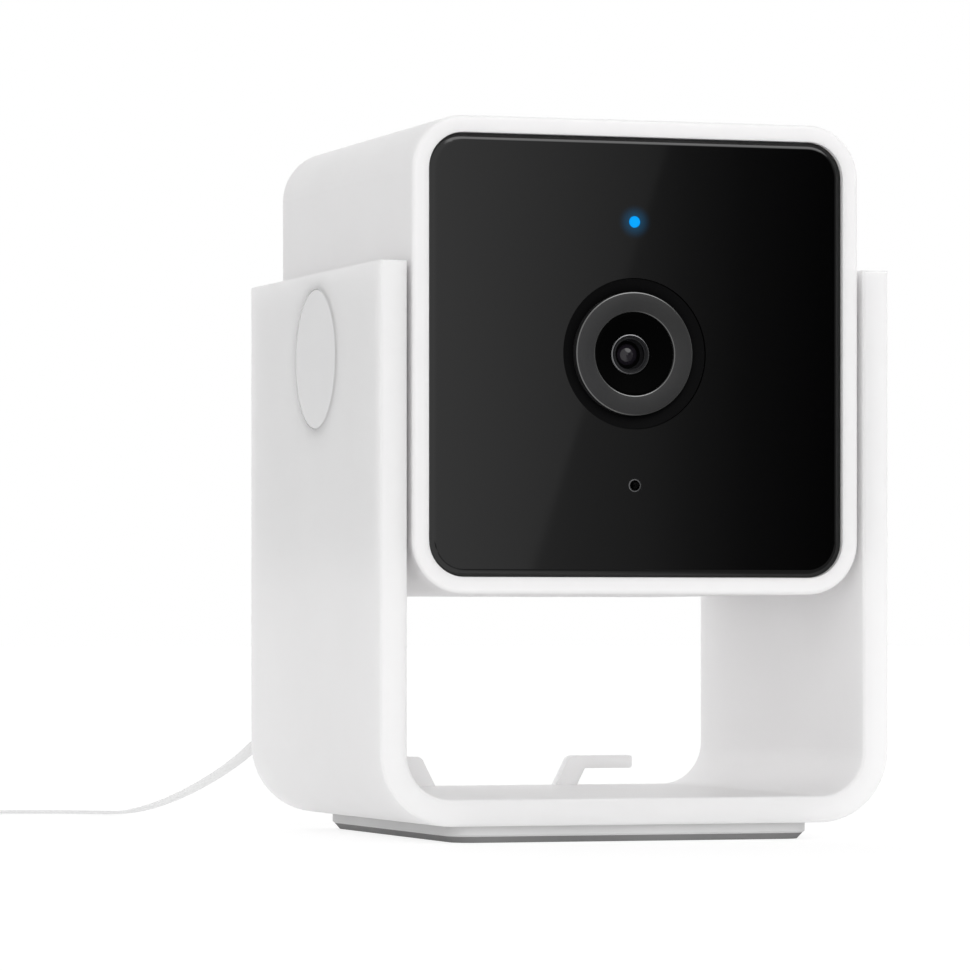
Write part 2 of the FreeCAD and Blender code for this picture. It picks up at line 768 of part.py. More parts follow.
def spring_washers():
    inner = trunnion_r + spring_washer_gap
    return both_sides(ring_x(inner + spring_washer_w, inner, web_out + spring_washer_play, spring_washer_t))


def pivot_screws():
    tip = inner_w / 2 - hub_flange_t + pivot_screw_out
    screw = rod("x", pivot_screw_r, tip, hub_end - tip, pivot_y, pivot_z)
    head = rod("x", pivot_screw_head_r, hub_end, pivot_screw_head_t, pivot_y, pivot_z)
    return both_sides(screw.fuse(head).removeSplitter())


def pivot_caps():
    """Disc flush with the stand's side, on a skirt that snaps into the pocket."""
    face = stand_w / 2 - fit
    cap = rod("x", cap_r, face - cap_t, cap_t, pivot_y, pivot_z)
    cap = cap.makeFillet(cap_edge, edges_at(cap, "x", face))
    skirt = ring_x(cap_r, cap_r - cap_skirt_t, web_out, face - cap_t - web_out)
    return both_sides(cap.fuse(skirt).removeSplitter())


# ---------------------------------------------------------------- stand
def u_profile():
    """Outline of the U, seen along Y, as a closed wire at Y = 0."""
    w, wi = stand_w / 2, stand_in_w / 2
    ro, ri = stand_outer_corner, stand_inner_corner
    k = 1 - math.sqrt(0.5)
    z0, z1, zt = foot_h, floor_top, stand_top
    line, arc = Part.LineSegment, Part.Arc
    edges = [line(V(-w, 0, zt), V(-w, 0, z0 + ro)),
             arc(V(-w, 0, z0 + ro), V(-w + k * ro, 0, z0 + k * ro), V(-w + ro, 0, z0)),
             line(V(-w + ro, 0, z0), V(w - ro, 0, z0)),
             arc(V(w - ro, 0, z0), V(w - k * ro, 0, z0 + k * ro), V(w, 0, z0 + ro)),
             line(V(w, 0, z0 + ro), V(w, 0, zt)),
             line(V(w, 0, zt), V(wi, 0, zt)),
             line(V(wi, 0, zt), V(wi, 0, z1 + ri)),
             arc(V(wi, 0, z1 + ri), V(wi - k * ri, 0, z1 + k * ri), V(wi - ri, 0, z1)),
             line(V(wi - ri, 0, z1), V(-wi + ri, 0, z1)),
             arc(V(-wi + ri, 0, z1), V(-wi + k * ri, 0, z1 + k * ri), V(-wi, 0, z1 + ri)),
             line(V(-wi, 0, z1 + ri), V(-wi, 0, zt)),
             line(V(-wi, 0, zt), V(-w, 0, zt))]
    return Part.Wire([edge.toShape() for edge in edges])


def cable_hook():
    """Leaning foot and a level bar, moulded on the stand's floor; drawn on the right."""
    z0, under, top = floor_top, floor_top + hook_slot, floor_top + hook_slot + hook_bar
    sunk = z0 - hook_sunk
    a, b = hook_base_in, hook_base_in + hook_base_w
    lean = hook_lean / (top - z0)
    points = [V(a - lean * hook_sunk, 0, sunk), V(a + hook_lean, 0, top), V(hook_reach, 0, top),
              V(hook_reach, 0, under), V(b + lean * hook_slot, 0, under), V(b, 0, z0), V(b, 0, sunk)]
    y0 = stand_rear - hook_from_rear - hook_y_t
    wire = Part.makePolygon(points + points[:1])
    wire.translate(V(0, y0, 0))
    hook = Part.Face(wire).extrude(V(0, hook_y_t, 0))
    crosswise = [e.BoundBox.YLength > hook_y_t / 2 for e in hook.Edges]
    elbow = [e for e, across in zip(hook.Edges, crosswise)
             if across and e.BoundBox.ZMin > top - near and e.BoundBox.XMax < hook_reach - near]
    hook = hook.makeFillet(hook_elbow_round, elbow)
    tip = [e for e in hook.Edges if e.BoundBox.YLength > hook_y_t / 2 and e.BoundBox.XMin > hook_reach - near]
    return hook.makeFillet(hook_tip_round, tip)


def foot_screw_spots():
    return [(sx * (foot_w / 2 - foot_screw_inset), foot_y + sy * (foot_d / 2 - foot_screw_inset))
            for sx, sy in corners]


def stand_frame():
    stand = Part.Face(u_profile()).extrude(V(0, stand_d, 0))
    stand.translate(V(0, stand_front, 0))
    stand = stand.makeFillet(stand_front_round, edges_at(stand, "y", stand_front))
    stand = stand.makeFillet(stand_rear_round, edges_at(stand, "y", stand_rear))
    hook = cable_hook()
    stand = stand.fuse([hook, hook.mirror(V(0, 0, 0), V(1, 0, 0))])
    for side in (-1, 1):
        pocket_x = web_out if side > 0 else -stand_w / 2 - past
        stand = stand.cut(rod("x", cap_r + fit, pocket_x, stand_w / 2 + past - web_out, pivot_y, pivot_z))
        bore_x = web_in - past if side > 0 else -web_out - past
        stand = stand.cut(rod("x", trunnion_r + running_fit, bore_x, web_t + 2 * past, pivot_y, pivot_z))
    for x, y in foot_screw_spots():
        stand = stand.cut(rod("z", foot_screw_r + fit, foot_h - past, past + foot_screw_bite + slip, x, y))
    return stand.removeSplitter()


def foot_layer(in0, z0, in1, z1):
    return tapered_z(foot_w - 2 * in0, foot_d - 2 * in0, foot_corner, z0,
                     foot_w - 2 * in1, foot_d - 2 * in1, foot_corner, z1, foot_y)


def base_plate():
    straight = pad_t + plate_bevel
    plate = foot_layer(plate_bevel, pad_t, 0, straight).fuse(foot_layer(0, straight, 0, foot_h))
    sink = foot_screw_head_r - foot_screw_r
    for x, y in foot_screw_spots():
        plate = plate.cut(rod("z", foot_screw_r + slip, pad_t - past, plate_t + 2 * past, x, y))
        plate = plate.cut(Part.makeCone(foot_screw_head_r + slip, foot_screw_r + slip, sink, V(x, y, pad_t)))
    return plate.removeSplitter()


def rubber_pad():
    return foot_layer(plate_bevel + pad_bevel, 0, plate_bevel, pad_t)


def base_screws():
    """Countersunk screws from under the plate into the stand's floor."""
    screws = []
    sink = foot_screw_head_r - foot_screw_r
    for x, y in foot_screw_spots():
        head = Part.makeCone(foot_screw_head_r, foot_screw_r, sink, V(x, y, pad_t))
        shank = rod("z", foot_screw_r, pad_t, plate_t + foot_screw_bite, x, y)
        screws.append(head.fuse(shank).removeSplitter())
    return Part.makeCompound(screws)


# ---------------------------------------------------------------- flat power cable
cable_z = cable_lift + cable_t / 2   # middle of the flat cable where it lies on the table
drop_dir = V(-0.665, 0.747, 0)
drop_dir.normalize()
boot_end = V(-1.6, 39.5, port_z)
# Distance along drop_dir from the boot's end, and height: out, over and down to the table.
drop_route = [(0, port_z), (7.0, port_z), (13.5, 32.0), (19.0, 18.6), (27.0, 9.2), (36.6, 3.45),
              (46.0, cable_z), (53.6, cable_z)]
# Table route from the last leg of the drop to the coil, X and Y.
floor_route = [(-41.6, 82.2), (-49.3, 84.5), (-59.4, 88.8)]


def drop_point(s, z):
    point = boot_end + drop_dir * s
    return V(point.x, point.y, z)


def rounded_path(points, name):
    """Straight runs joined by tangent arcs, each as large as its two runs allow."""
    edges, start = [], points[0]
    for before, corner, after in zip(points, points[1:], points[2:]):
        back, ahead = before - corner, after - corner
        turn = math.pi - back.getAngle(ahead)
        leg = 0.45 * min(back.Length, ahead.Length)
        radius = leg / math.tan(turn / 2)
        print(name, "turn", round(math.degrees(turn), 1), "radius", round(radius, 1))
        back.normalize()
        ahead.normalize()
        enter, leave = corner + back * leg, corner + ahead * leg
        inward = back + ahead
        inward.normalize()
        middle = corner + inward * (radius / math.cos(turn / 2) - radius)
        edges.append(Part.LineSegment(start, enter).toShape())
        edges.append(Part.Arc(enter, middle, leave).toShape())
        start = leave
    edges.append(Part.LineSegment(start, points[-1]).toShape())
    return Part.Wire(edges)


def ribbon(points, across, name):
    """Flat cable along a route that lies in one plane; across is its width direction at the start."""
    path = rounded_path(points, name)
    along = points[1] - points[0]
    along.normalize()
    across = V(across)
    across.normalize()
    thin = along.cross(across)
    a, t = across * (cable_w / 2), thin * (cable_t / 2)
    ring = [points[0] + a + t, points[0] - a + t, points[0] - a - t, points[0] + a - t]
    section = Part.makePolygon(ring + ring[:1])
    solid = path.makePipeShell([section], True, False)
    print(name, "length", round(path.Length, 1), "volume", round(solid.Volume, 1), "section x length",
          round(path.Length * cable_w * cable_t, 1))
    return solid


def drop_split():
    """Where the hanging stretch ends and the stretch on the table starts."""
    s = (drop_route[-2][0] + drop_route[-1][0]) / 2
    return drop_point(s, cable_z)


def cable_drop():
    points = [drop_point(s, z) for s, z in drop_route[:-1]] + [drop_split()]
    return ribbon(points, V(0, 0, 1).cross(drop_dir), "cable_drop")


coil_out_r = coil_mean_r + coil_build / 2
coil_in_r = coil_mean_r - coil_build / 2
coil_z0 = tie_t + cable_lift
coil_z1 = coil_z0 + coil_layers_h


def coil_point(degrees, r, z):
    angle = math.radians(degrees)
    return V(coil_x + r * math.cos(angle), coil_y + r * math.sin(angle), z)


def coil_heading(degrees):
    """Direction of the winding, anticlockwise seen from above."""
    angle = math.radians(degrees)
    return V(-math.sin(angle), math.cos(angle), 0)


def coil_room():
    """Column that the coil fills; the cable's two ends stop at it."""
    return rod("z", coil_out_r, -past, coil_z1 + 2 * past, coil_x, coil_y)


def cable_coil():
    disc = rod("z", coil_out_r, coil_z0, coil_layers_h, coil_x, coil_y)
    return disc.cut(rod("z", coil_in_r, coil_z0, coil_layers_h, coil_x, coil_y))


def cable_floor():
    arrive = coil_point(coil_start, coil_out_r, cable_z)
    landed = drop_point(*drop_route[-1])
    points = [drop_split(), landed] + [V(x, y, cable_z) for x, y in floor_route] + [arrive]
    strip = ribbon(points, V(0, 0, 1).cross(drop_dir), "cable_floor")
    return strip.cut(coil_room())


def tail_points():
    start = coil_point(coil_leave, coil_out_r - cable_t, coil_z1 - cable_w / 2 - slip)
    ahead = coil_heading(coil_leave)
    end = V(start.x, start.y, a_plug_h / 2) + ahead * tail_len
    level = ahead * (tail_len * tail_end_share)
    return [start, start + level, end - level, end]


def cable_tail():
    """Last stretch, standing on its edge as in the coil, down to the power plug."""
    strip = ribbon(tail_points(), V(0, 0, 1), "cable_tail")
    return strip.cut(coil_room())


def cable_tie():
    """Strap round the bundle of turns."""
    r0 = math.sqrt(coil_in_r ** 2 - (tie_w / 2) ** 2) - fit
    r1 = coil_out_r + fit
    tie = box(r0 - tie_t, r1 + tie_t, -tie_w / 2, tie_w / 2, coil_z0 - tie_t, coil_z1 + tie_t)
    tie = tie.cut(box(r0, r1, -tie_w, tie_w, coil_z0, coil_z1))
    tie.rotate(V(0, 0, 0), V(0, 0, 1), tie_angle)
    tie.translate(V(coil_x, coil_y, 0))
    return tie


def usb_plug_shell():
    y0 = plug_front - plug_shell_len
    wall = plug_shell_wall
    shell = block_y(plug_shell_w, plug_shell_h, shell_corner + wall / 2, y0, plug_front, 0, port_z)
    return shell.cut(block_y(plug_shell_w - 2 * wall, plug_shell_h - 2 * wall, shell_corner, y0 - past,
                             plug_front - cup_wall, 0, port_z))


def usb_plug_body():
    body = block_y(plug_w, plug_h, plug_corner, plug_front, plug_back, 0, port_z)
    return body.makeFillet(plug_edge, edges_at(body, "y", plug_back))


def plug_boot():
    """Soft taper that bends the cable towards the side it leaves on."""
    thick = outline(boot_w, boot_h, boot_h / 4)
    thin = outline(cable_w + 2 * boot_cover, cable_t + 2 * boot_cover, boot_cover)
    for wire in (thick, thin):
        wire.rotate(V(0, 0, 0), V(1, 0, 0), 90)
    thick.translate(V(0, plug_back, port_z))
    thin.rotate(V(0, 0, 0), V(0, 0, 1), math.degrees(math.atan2(drop_dir.y, drop_dir.x)) - 90)
    thin.translate(boot_end)
    return Part.makeLoft([thick, thin], True, True)


def along_tail(shape):
    """Puts a shape drawn along +Y from the origin at the end of the tail."""
    ahead = coil_heading(coil_leave)
    shape.rotate(V(0, 0, 0), V(0, 0, 1), math.degrees(math.atan2(ahead.y, ahead.x)) - 90)
    shape.translate(tail_points()[-1])
    return shape


def power_plug_body():
    body = block_y(a_plug_w, a_plug_h, a_plug_corner, a_plug_taper, a_plug_len)
    body = body.makeChamfer(a_plug_edge, edges_at(body, "y", a_plug_len))
    thin = outline(cable_t + 2 * a_plug_edge, cable_w + 2 * a_plug_edge, a_plug_edge)
    thick = outline(a_plug_w - 2 * a_plug_corner, a_plug_h - a_plug_corner, a_plug_corner)
    for wire, y in ((thin, 0), (thick, a_plug_taper)):
        wire.rotate(V(0, 0, 0), V(1, 0, 0), 90)
        wire.translate(V(0, y, 0))
    return along_tail(body.fuse(Part.makeLoft([thin, thick], True, True)).removeSplitter())


def power_plug_shell():
    """Hollow metal shell with its tongue and two square windows."""
    wall, end = a_shell_wall, a_plug_len + a_shell_len
    shell = block_y(a_shell_w, a_shell_h, 2 * wall, a_plug_len, end)
    room = block_y(a_shell_w - 2 * wall, a_shell_h - 2 * wall, wall, a_plug_len + wall, end + past)
    shell = shell.cut(room)
    shell = shell.fuse(box(-a_shell_w / 2 + wall, a_shell_w / 2 - wall, a_plug_len + wall / 2, end - wall,
                           -a_shell_h / 2 + wall / 2, -wall))
    half = a_shell_window / 2
    y0 = end - a_shell_window_in
    for x in (-a_shell_window_x, a_shell_window_x):
        shell = shell.cut(box(x - half, x + half, y0, y0 + a_shell_window, wall, a_shell_h))
    return along_tail(shell.removeSplitter())


makers = [head_shell, rear_cover, cover_screws, faceplate, lens_dish, lens_ring, lens_barrel, front_lens,
          lens_holder, sensor_board, image_sensor, board_standoffs, front_board, infrared_leds, status_led,
          light_pipe, microphone, mic_gasket, main_board, processor, heat_spreader, radio_shield,
          flex_sockets, flex_cable, wifi_antenna, speaker_gasket, speaker_frame, speaker_cone,
          speaker_magnet, port_board, usb_socket, reset_switch, reset_button, pivot_hubs,
          friction_washers, spring_washers, pivot_screws, pivot_caps, stand_frame, base_plate,
          rubber_pad, base_screws, usb_plug_shell, usb_plug_body, plug_boot, cable_drop, cable_floor,
          cable_coil, cable_tail, cable_tie, power_plug_body, power_plug_shell]

os.makedirs("parts", exist_ok=True)
for maker in makers:
    shape = maker()
    solids = shape.Solids
    print(maker.__name__, "solids", len(solids), "volume", round(shape.Volume, 2), "valid", shape.isValid())
    if len(solids) == 1:
        shape = solids[0]
    shape.exportStep("parts/" + maker.__name__ + ".step")
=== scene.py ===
import math

import bmesh
import bpy
from mathutils import Matrix, Vector


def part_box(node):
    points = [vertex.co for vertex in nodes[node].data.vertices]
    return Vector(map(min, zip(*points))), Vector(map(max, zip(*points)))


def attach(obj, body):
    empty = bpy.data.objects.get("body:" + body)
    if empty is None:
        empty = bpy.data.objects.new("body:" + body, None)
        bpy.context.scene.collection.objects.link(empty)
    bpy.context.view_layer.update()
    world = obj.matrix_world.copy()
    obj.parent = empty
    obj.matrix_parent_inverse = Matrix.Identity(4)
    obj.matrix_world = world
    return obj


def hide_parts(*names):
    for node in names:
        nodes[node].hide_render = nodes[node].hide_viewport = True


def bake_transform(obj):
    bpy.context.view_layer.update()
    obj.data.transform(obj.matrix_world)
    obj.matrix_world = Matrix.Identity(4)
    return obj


# Metres. The frame is the CAD model's: +X right, -Y the way the lens looks, +Z up, table at z = 0.
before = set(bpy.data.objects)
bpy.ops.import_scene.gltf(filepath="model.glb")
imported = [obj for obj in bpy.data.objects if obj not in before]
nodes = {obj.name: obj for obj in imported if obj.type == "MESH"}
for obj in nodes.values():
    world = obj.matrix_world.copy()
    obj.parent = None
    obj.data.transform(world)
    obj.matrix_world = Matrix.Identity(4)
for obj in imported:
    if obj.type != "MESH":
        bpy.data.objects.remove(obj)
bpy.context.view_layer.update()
MM = 0.001


# ------------------------------------------------------------------ camera
CAMERA_AT = (-0.2053, -0.5984, 0.0240)
CAMERA_HEADING = math.radians(-18.14)
PICTURE_LONG_SIDE = 971
FOCAL_PIXELS = 5409.6
HORIZON_ROW = 627.8
MIDDLE_COLUMN = 485.7
PICTURE_WIDTH = 970
SENSOR = 36.0
CLIP_NEAR, CLIP_FAR = 0.05, 20.0


def make_camera():
    """A level camera with a raised picture plane, so that upright edges stay upright."""
    data = bpy.data.cameras.new("camera")
    data.sensor_width = SENSOR
    data.lens = FOCAL_PIXELS * SENSOR / PICTURE_LONG_SIDE
    data.shift_x = (PICTURE_WIDTH / 2 - MIDDLE_COLUMN) / PICTURE_LONG_SIDE
    data.shift_y = (HORIZON_ROW - PICTURE_LONG_SIDE / 2) / PICTURE_LONG_SIDE
    data.dof.use_dof = False
    data.clip_start, data.clip_end = CLIP_NEAR, CLIP_FAR
    camera = bpy.data.objects.new("camera", data)
    camera.location = CAMERA_AT
    camera.rotation_euler = (math.pi / 2, 0, CAMERA_HEADING)
    bpy.context.scene.collection.objects.link(camera)
    bpy.context.scene.camera = camera


make_camera()

# ------------------------------------------------------------------ places read from the frame
ring_low, ring_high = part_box("lens_ring")
plug_low, plug_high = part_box("usb_plug_body")
coil_low, coil_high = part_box("cable_coil")
pipe_low, pipe_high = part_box("light_pipe")
lens_axis = (ring_low + ring_high) / 2
window_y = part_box("faceplate")[0].y
boot_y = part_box("plug_boot")[0].y
port_z = (plug_low.z + plug_high.z) / 2
lamp_z = (pipe_low.z + pipe_high.z) / 2


# ------------------------------------------------------------------ node helpers
def new_material(name):
    material = bpy.data.materials.new(name)
    material.use_nodes = True
    tree = material.node_tree
    return material, tree, tree.nodes["Principled BSDF"]


def node(tree, kind, **values):
    made = tree.nodes.new(kind)
    for key, value in values.items():
        setattr(made, key, value)
    return made


def feed(tree, socket, value):
    """Sets a socket to a constant, or links another socket to it."""
    if isinstance(value, bpy.types.NodeSocket):
        tree.links.new(value, socket)
    else:
        socket.default_value = value


def object_place(tree):
    """The object's own coordinates, in metres."""
    return node(tree, "ShaderNodeTexCoord").outputs["Object"]


def mapped(tree, value, low, high, to_low=0.0, to_high=1.0, **kind):
    """Maps low to high on to to_low to to_high, and holds the ends."""
    made = node(tree, "ShaderNodeMapRange", **kind)
    for name, number in (("From Min", low), ("From Max", high), ("To Min", to_low), ("To Max", to_high)):
        made.inputs[name].default_value = number
    tree.links.new(value, made.inputs["Value"])
    return made.outputs["Result"]


def maths(tree, operation, first, second):
    made = node(tree, "ShaderNodeMath", operation=operation)
    feed(tree, made.inputs[0], first)
    feed(tree, made.inputs[1], second)
    return made.outputs[0]


def vector_maths(tree, operation, first, second=None):
    made = node(tree, "ShaderNodeVectorMath", operation=operation)
    feed(tree, made.inputs[0], first)
    if second is not None:
        feed(tree, made.inputs[1], second)
    return made.outputs["Value" if operation in ("DISTANCE", "LENGTH", "DOT_PRODUCT") else "Vector"]


def brightness_ramp(tree, value, stops):
    """A ramp of greys through these (place, brightness) stops."""
    ramp = node(tree, "ShaderNodeValToRGB")
    ramp.color_ramp.elements.remove(ramp.color_ramp.elements[1])
    for place, _ in stops[1:]:
        ramp.color_ramp.elements.new(place)
    for element, (place, bright) in zip(ramp.color_ramp.elements, stops):
        element.position = place
        element.color = (bright, bright, bright, 1)
    tree.links.new(value, ramp.inputs["Fac"])
    return ramp.outputs["Color"]


# ------------------------------------------------------------------ material helpers
NOISE_RANGE = (0.3, 0.7)       # nearly all of a noise lies between these
TINT_RANGE = (0.35, 0.65)
GRAIN_HEIGHT = 0.00003
TINT_SCALE = 40.0              # patches of tint per metre
GLOSS_FINER = 6                # the gloss changes over shorter distances than the tint
GLOSS_SPREAD = 0.05


def noise(tree, scale, detail=2.0, roughness=0.5, stretch=None):
    """Noise over the object's own coordinates."""
    texture = node(tree, "ShaderNodeTexNoise")
    texture.inputs["Scale"].default_value = scale
    texture.inputs["Detail"].default_value = detail
    texture.inputs["Roughness"].default_value = roughness
    source = object_place(tree)
    if stretch:
        mapping = node(tree, "ShaderNodeMapping")
        mapping.inputs["Scale"].default_value = stretch
        tree.links.new(source, mapping.inputs["Vector"])
        source = mapping.outputs["Vector"]
    tree.links.new(source, texture.inputs["Vector"])
    return texture.outputs["Fac"]


def tinted(tree, value, dark, light):
    ramp = node(tree, "ShaderNodeValToRGB")
    for element, place, colour in zip(ramp.color_ramp.elements, TINT_RANGE, (dark, light)):
        element.position = place
        element.color = (*colour, 1)
    tree.links.new(value, ramp.inputs["Fac"])
    return ramp.outputs["Color"]


def bumped(tree, shader, height, strength):
    bump = node(tree, "ShaderNodeBump")
    bump.inputs["Strength"].default_value = strength
    bump.inputs["Distance"].default_value = GRAIN_HEIGHT
    tree.links.new(height, bump.inputs["Height"])
    tree.links.new(bump.outputs["Normal"], shader.inputs["Normal"])


def grained(name, dark, light, rough, grain, strength, metallic=0.0, spec=0.5):
    """A moulded, cast or plated surface: slow tint, uneven gloss and a fine grain."""
    material, tree, shader = new_material(name)
    shader.inputs["Metallic"].default_value = metallic
    shader.inputs["Specular IOR Level"].default_value = spec
    tint = tinted(tree, noise(tree, TINT_SCALE), dark, light)
    tree.links.new(tint, shader.inputs["Base Color"])
    gloss = mapped(tree, noise(tree, TINT_SCALE * GLOSS_FINER, 3.0), *NOISE_RANGE,
                   rough - GLOSS_SPREAD, rough + GLOSS_SPREAD)
    tree.links.new(gloss, shader.inputs["Roughness"])
    bumped(tree, shader, noise(tree, grain, 2.0, 0.6), strength)
    return material


# ------------------------------------------------------------------ materials
# Linear colours. A row is: darkest and lightest tint, roughness, grains per metre and their strength,
# then what differs from a plain plastic.
METAL = {"metallic": 1.0}
WHITE = ((0.897, 0.888, 0.891), (0.912, 0.903, 0.906), 0.42, 5000, 0.10, {})
GRAINED = {
    "white_plastic": WHITE,
    "stand_plastic": WHITE,
    "cap_plastic": ((0.815, 0.813, 0.816), (0.83, 0.828, 0.83), 0.42, 5000, 0.10, {}),
    "lens_black": ((0.0006,) * 3, (0.0014,) * 3, 0.5, 6000, 0.2, {"spec": 0.01}),
    "dish_black": ((0.0006,) * 3, (0.0014,) * 3, 0.5, 6000, 0.2, {"spec": 0.01}),
    "ring_grey": ((0.026,) * 3, (0.029, 0.029, 0.030), 0.38, 7000, 0.1, {"spec": 0.2}),
    # painted highlight: a lighter, metallic copy of the ring's grey for its rolled edges, so their lines are
    # partly this colour and partly mirrored light
    "ring_edge_highlight": ((0.12,) * 3, (0.15,) * 3, 0.2, 5000, 0.05, METAL),
    # painted shade: the base plate is the body's white, darkened to this grey for the shade under the stand
    "plate_grey": ((0.65,) * 3, (0.69,) * 3, 0.5, 4000, 0.2, {}),
    "pad_grey": ((0.20,) * 3, (0.25,) * 3, 0.8, 2500, 0.5, {"spec": 0.3}),
    "mouth_grey": ((0.007, 0.007, 0.008), (0.010, 0.010, 0.011), 0.45, 7000, 0.1, {"spec": 0.15}),
    # painted highlight: a lighter, metallic copy of the barrel rim's grey for its edge and for the ring
    # round the microphone's hole; partly this colour, partly mirrored light
    "mouth_edge_highlight": ((0.16, 0.16, 0.165), (0.20, 0.20, 0.205), 0.25, 5000, 0.05, METAL),
    "strap": ((0.74,) * 3, (0.82,) * 3, 0.9, 1800, 0.7, {"spec": 0.2}),
    "steel": ((0.55, 0.55, 0.56), (0.66, 0.66, 0.67), 0.28, 3000, 0.1, METAL),
    "cable": ((0.79,) * 3, (0.83,) * 3, 0.5, 3500, 0.15, {}),
    "board": ((0.010, 0.08, 0.03), (0.016, 0.11, 0.045), 0.35, 2500, 0.1, {}),
    "chip": ((0.015, 0.015, 0.016), (0.03,) * 3, 0.6, 4000, 0.3, {}),
    "film": ((0.45, 0.20, 0.03), (0.55, 0.26, 0.05), 0.35, 1500, 0.1, {}),
    "clear_epoxy": ((0.60, 0.62, 0.66), (0.70, 0.72, 0.76), 0.12, 2000, 0.05, {}),
    "aluminium": ((0.62, 0.63, 0.65), (0.72, 0.73, 0.74), 0.35, 3000, 0.1, METAL),
    "cone": ((0.012,) * 3, (0.02,) * 3, 0.85, 3000, 0.6, {"spec": 0.2}),
    "foam": ((0.02,) * 3, (0.035,) * 3, 0.95, 3000, 0.8, {"spec": 0.1}),
    "acetal": ((0.72, 0.72, 0.70), (0.78, 0.78, 0.76), 0.4, 3000, 0.1, {}),
}
materials = {name: grained(name, *row, **more) for name, (*row, more) in GRAINED.items()}

# Share of the light that enters the white plastic, and how far it wanders there.
INNER_GLOW = {"white_plastic": (0.7, 1.5 * MM), "stand_plastic": (1.0, 4.5 * MM)}


def add_inner_glow(name, share, reach):
    """A little light that passes through the plastic's edges."""
    shader = materials[name].node_tree.nodes["Principled BSDF"]
    shader.inputs["Subsurface Weight"].default_value = share
    shader.inputs["Subsurface Radius"].default_value = (1.0, 1.0, 1.0)
    shader.inputs["Subsurface Scale"].default_value = reach


DISH_SLOPE = (6.8 * MM, 7.0 * MM)      # radius where the satin slope of the dish begins
DISH_SLOPE_COLOUR = (0.0048, 0.0048, 0.0050, 1)


def lighten_dish_slope():
    """Dead black inside the grey ring, satin black on the slope outside it."""
    tree = materials["dish_black"].node_tree
    shader = tree.nodes["Principled BSDF"]
    inner = shader.inputs["Base Color"].links[0].from_socket
    from_axis = vector_maths(tree, "SUBTRACT", object_place(tree), lens_axis)
    radius = vector_maths(tree, "LENGTH", vector_maths(tree, "MULTIPLY", from_axis, (1, 0, 1)))
    mix = node(tree, "ShaderNodeMix", data_type="RGBA")
    tree.links.new(mapped(tree, radius, *DISH_SLOPE), mix.inputs["Factor"])
    tree.links.new(inner, mix.inputs["A"])
    mix.inputs["B"].default_value = DISH_SLOPE_COLOUR
    tree.links.new(mix.outputs["Result"], shader.inputs["Base Color"])


WINDOW_BLACK = (0.0010, 0.0010, 0.0011, 1)
WINDOW_ROUGH = (0.015, 0.03)
WIPE_SCALE = 220
WIPE_STRETCH = (1, 1, 0.25)
CREEP_COLOUR = (0.0, 0.20, 0.45, 1)
CREEP = (0.2 * MM, 2.2 * MM, 0.20, 0.0)        # from and to this distance, this glow to that
LAMP_COLOUR = (0.0, 0.352, 1.0, 1)
LAMP_BODY = (0.0, 0.04, 0.1, 1)
LAMP_FADE = (0.4 * MM, 0.8 * MM, 1.0, 0.75)


def glow_round_lamp(tree, shader, colour, fade, **kind):
    """Light of its own that falls off with the distance from the lamp."""
    away = vector_maths(tree, "DISTANCE", object_place(tree), (lens_axis.x, window_y, lamp_z))
    shader.inputs["Emission Color"].default_value = colour
    tree.links.new(mapped(tree, away, *fade, **kind), shader.inputs["Emission Strength"])


def window_material():
    """Polished black acrylic with faint wipe marks, and blue light that creeps round the lamp."""
    material, tree, shader = new_material("black_window")
    shader.inputs["Base Color"].default_value = WINDOW_BLACK
    shader.inputs["IOR"].default_value = 1.5
    wipes = noise(tree, WIPE_SCALE, 4.0, 0.6, WIPE_STRETCH)
    tree.links.new(mapped(tree, wipes, *NOISE_RANGE, *WINDOW_ROUGH), shader.inputs["Roughness"])
    glow_round_lamp(tree, shader, CREEP_COLOUR, CREEP, interpolation_type="SMOOTHERSTEP")
    return material


def lamp_material():
    """Clear blue pipe with a lamp behind it, brightest in its middle."""
    material, tree, shader = new_material("lamp_blue")
    shader.inputs["Base Color"].default_value = LAMP_BODY
    shader.inputs["Roughness"].default_value = 0.25
    shader.inputs["Specular IOR Level"].default_value = 0.1
    glow_round_lamp(tree, shader, LAMP_COLOUR, LAMP_FADE)
    return material


GLASS_TINTS = ((0.003, 0.003, 0.005), (0.012, 0.010, 0.014))
GLASS_TINT_SCALE = 300


def glass_material():
    """Coated lens glass over the dark of the barrel."""
    material, tree, shader = new_material("lens_glass")
    shader.inputs["Roughness"].default_value = 0.03
    shader.inputs["IOR"].default_value = 1.45
    coat = tinted(tree, noise(tree, GLASS_TINT_SCALE, 0.0), *GLASS_TINTS)
    tree.links.new(coat, shader.inputs["Base Color"])
    return material


for glowing, (glow_share, glow_reach) in INNER_GLOW.items():
    add_inner_glow(glowing, glow_share, glow_reach)
lighten_dish_slope()
materials["window"] = window_material()
materials["lamp"] = lamp_material()
materials["glass"] = glass_material()

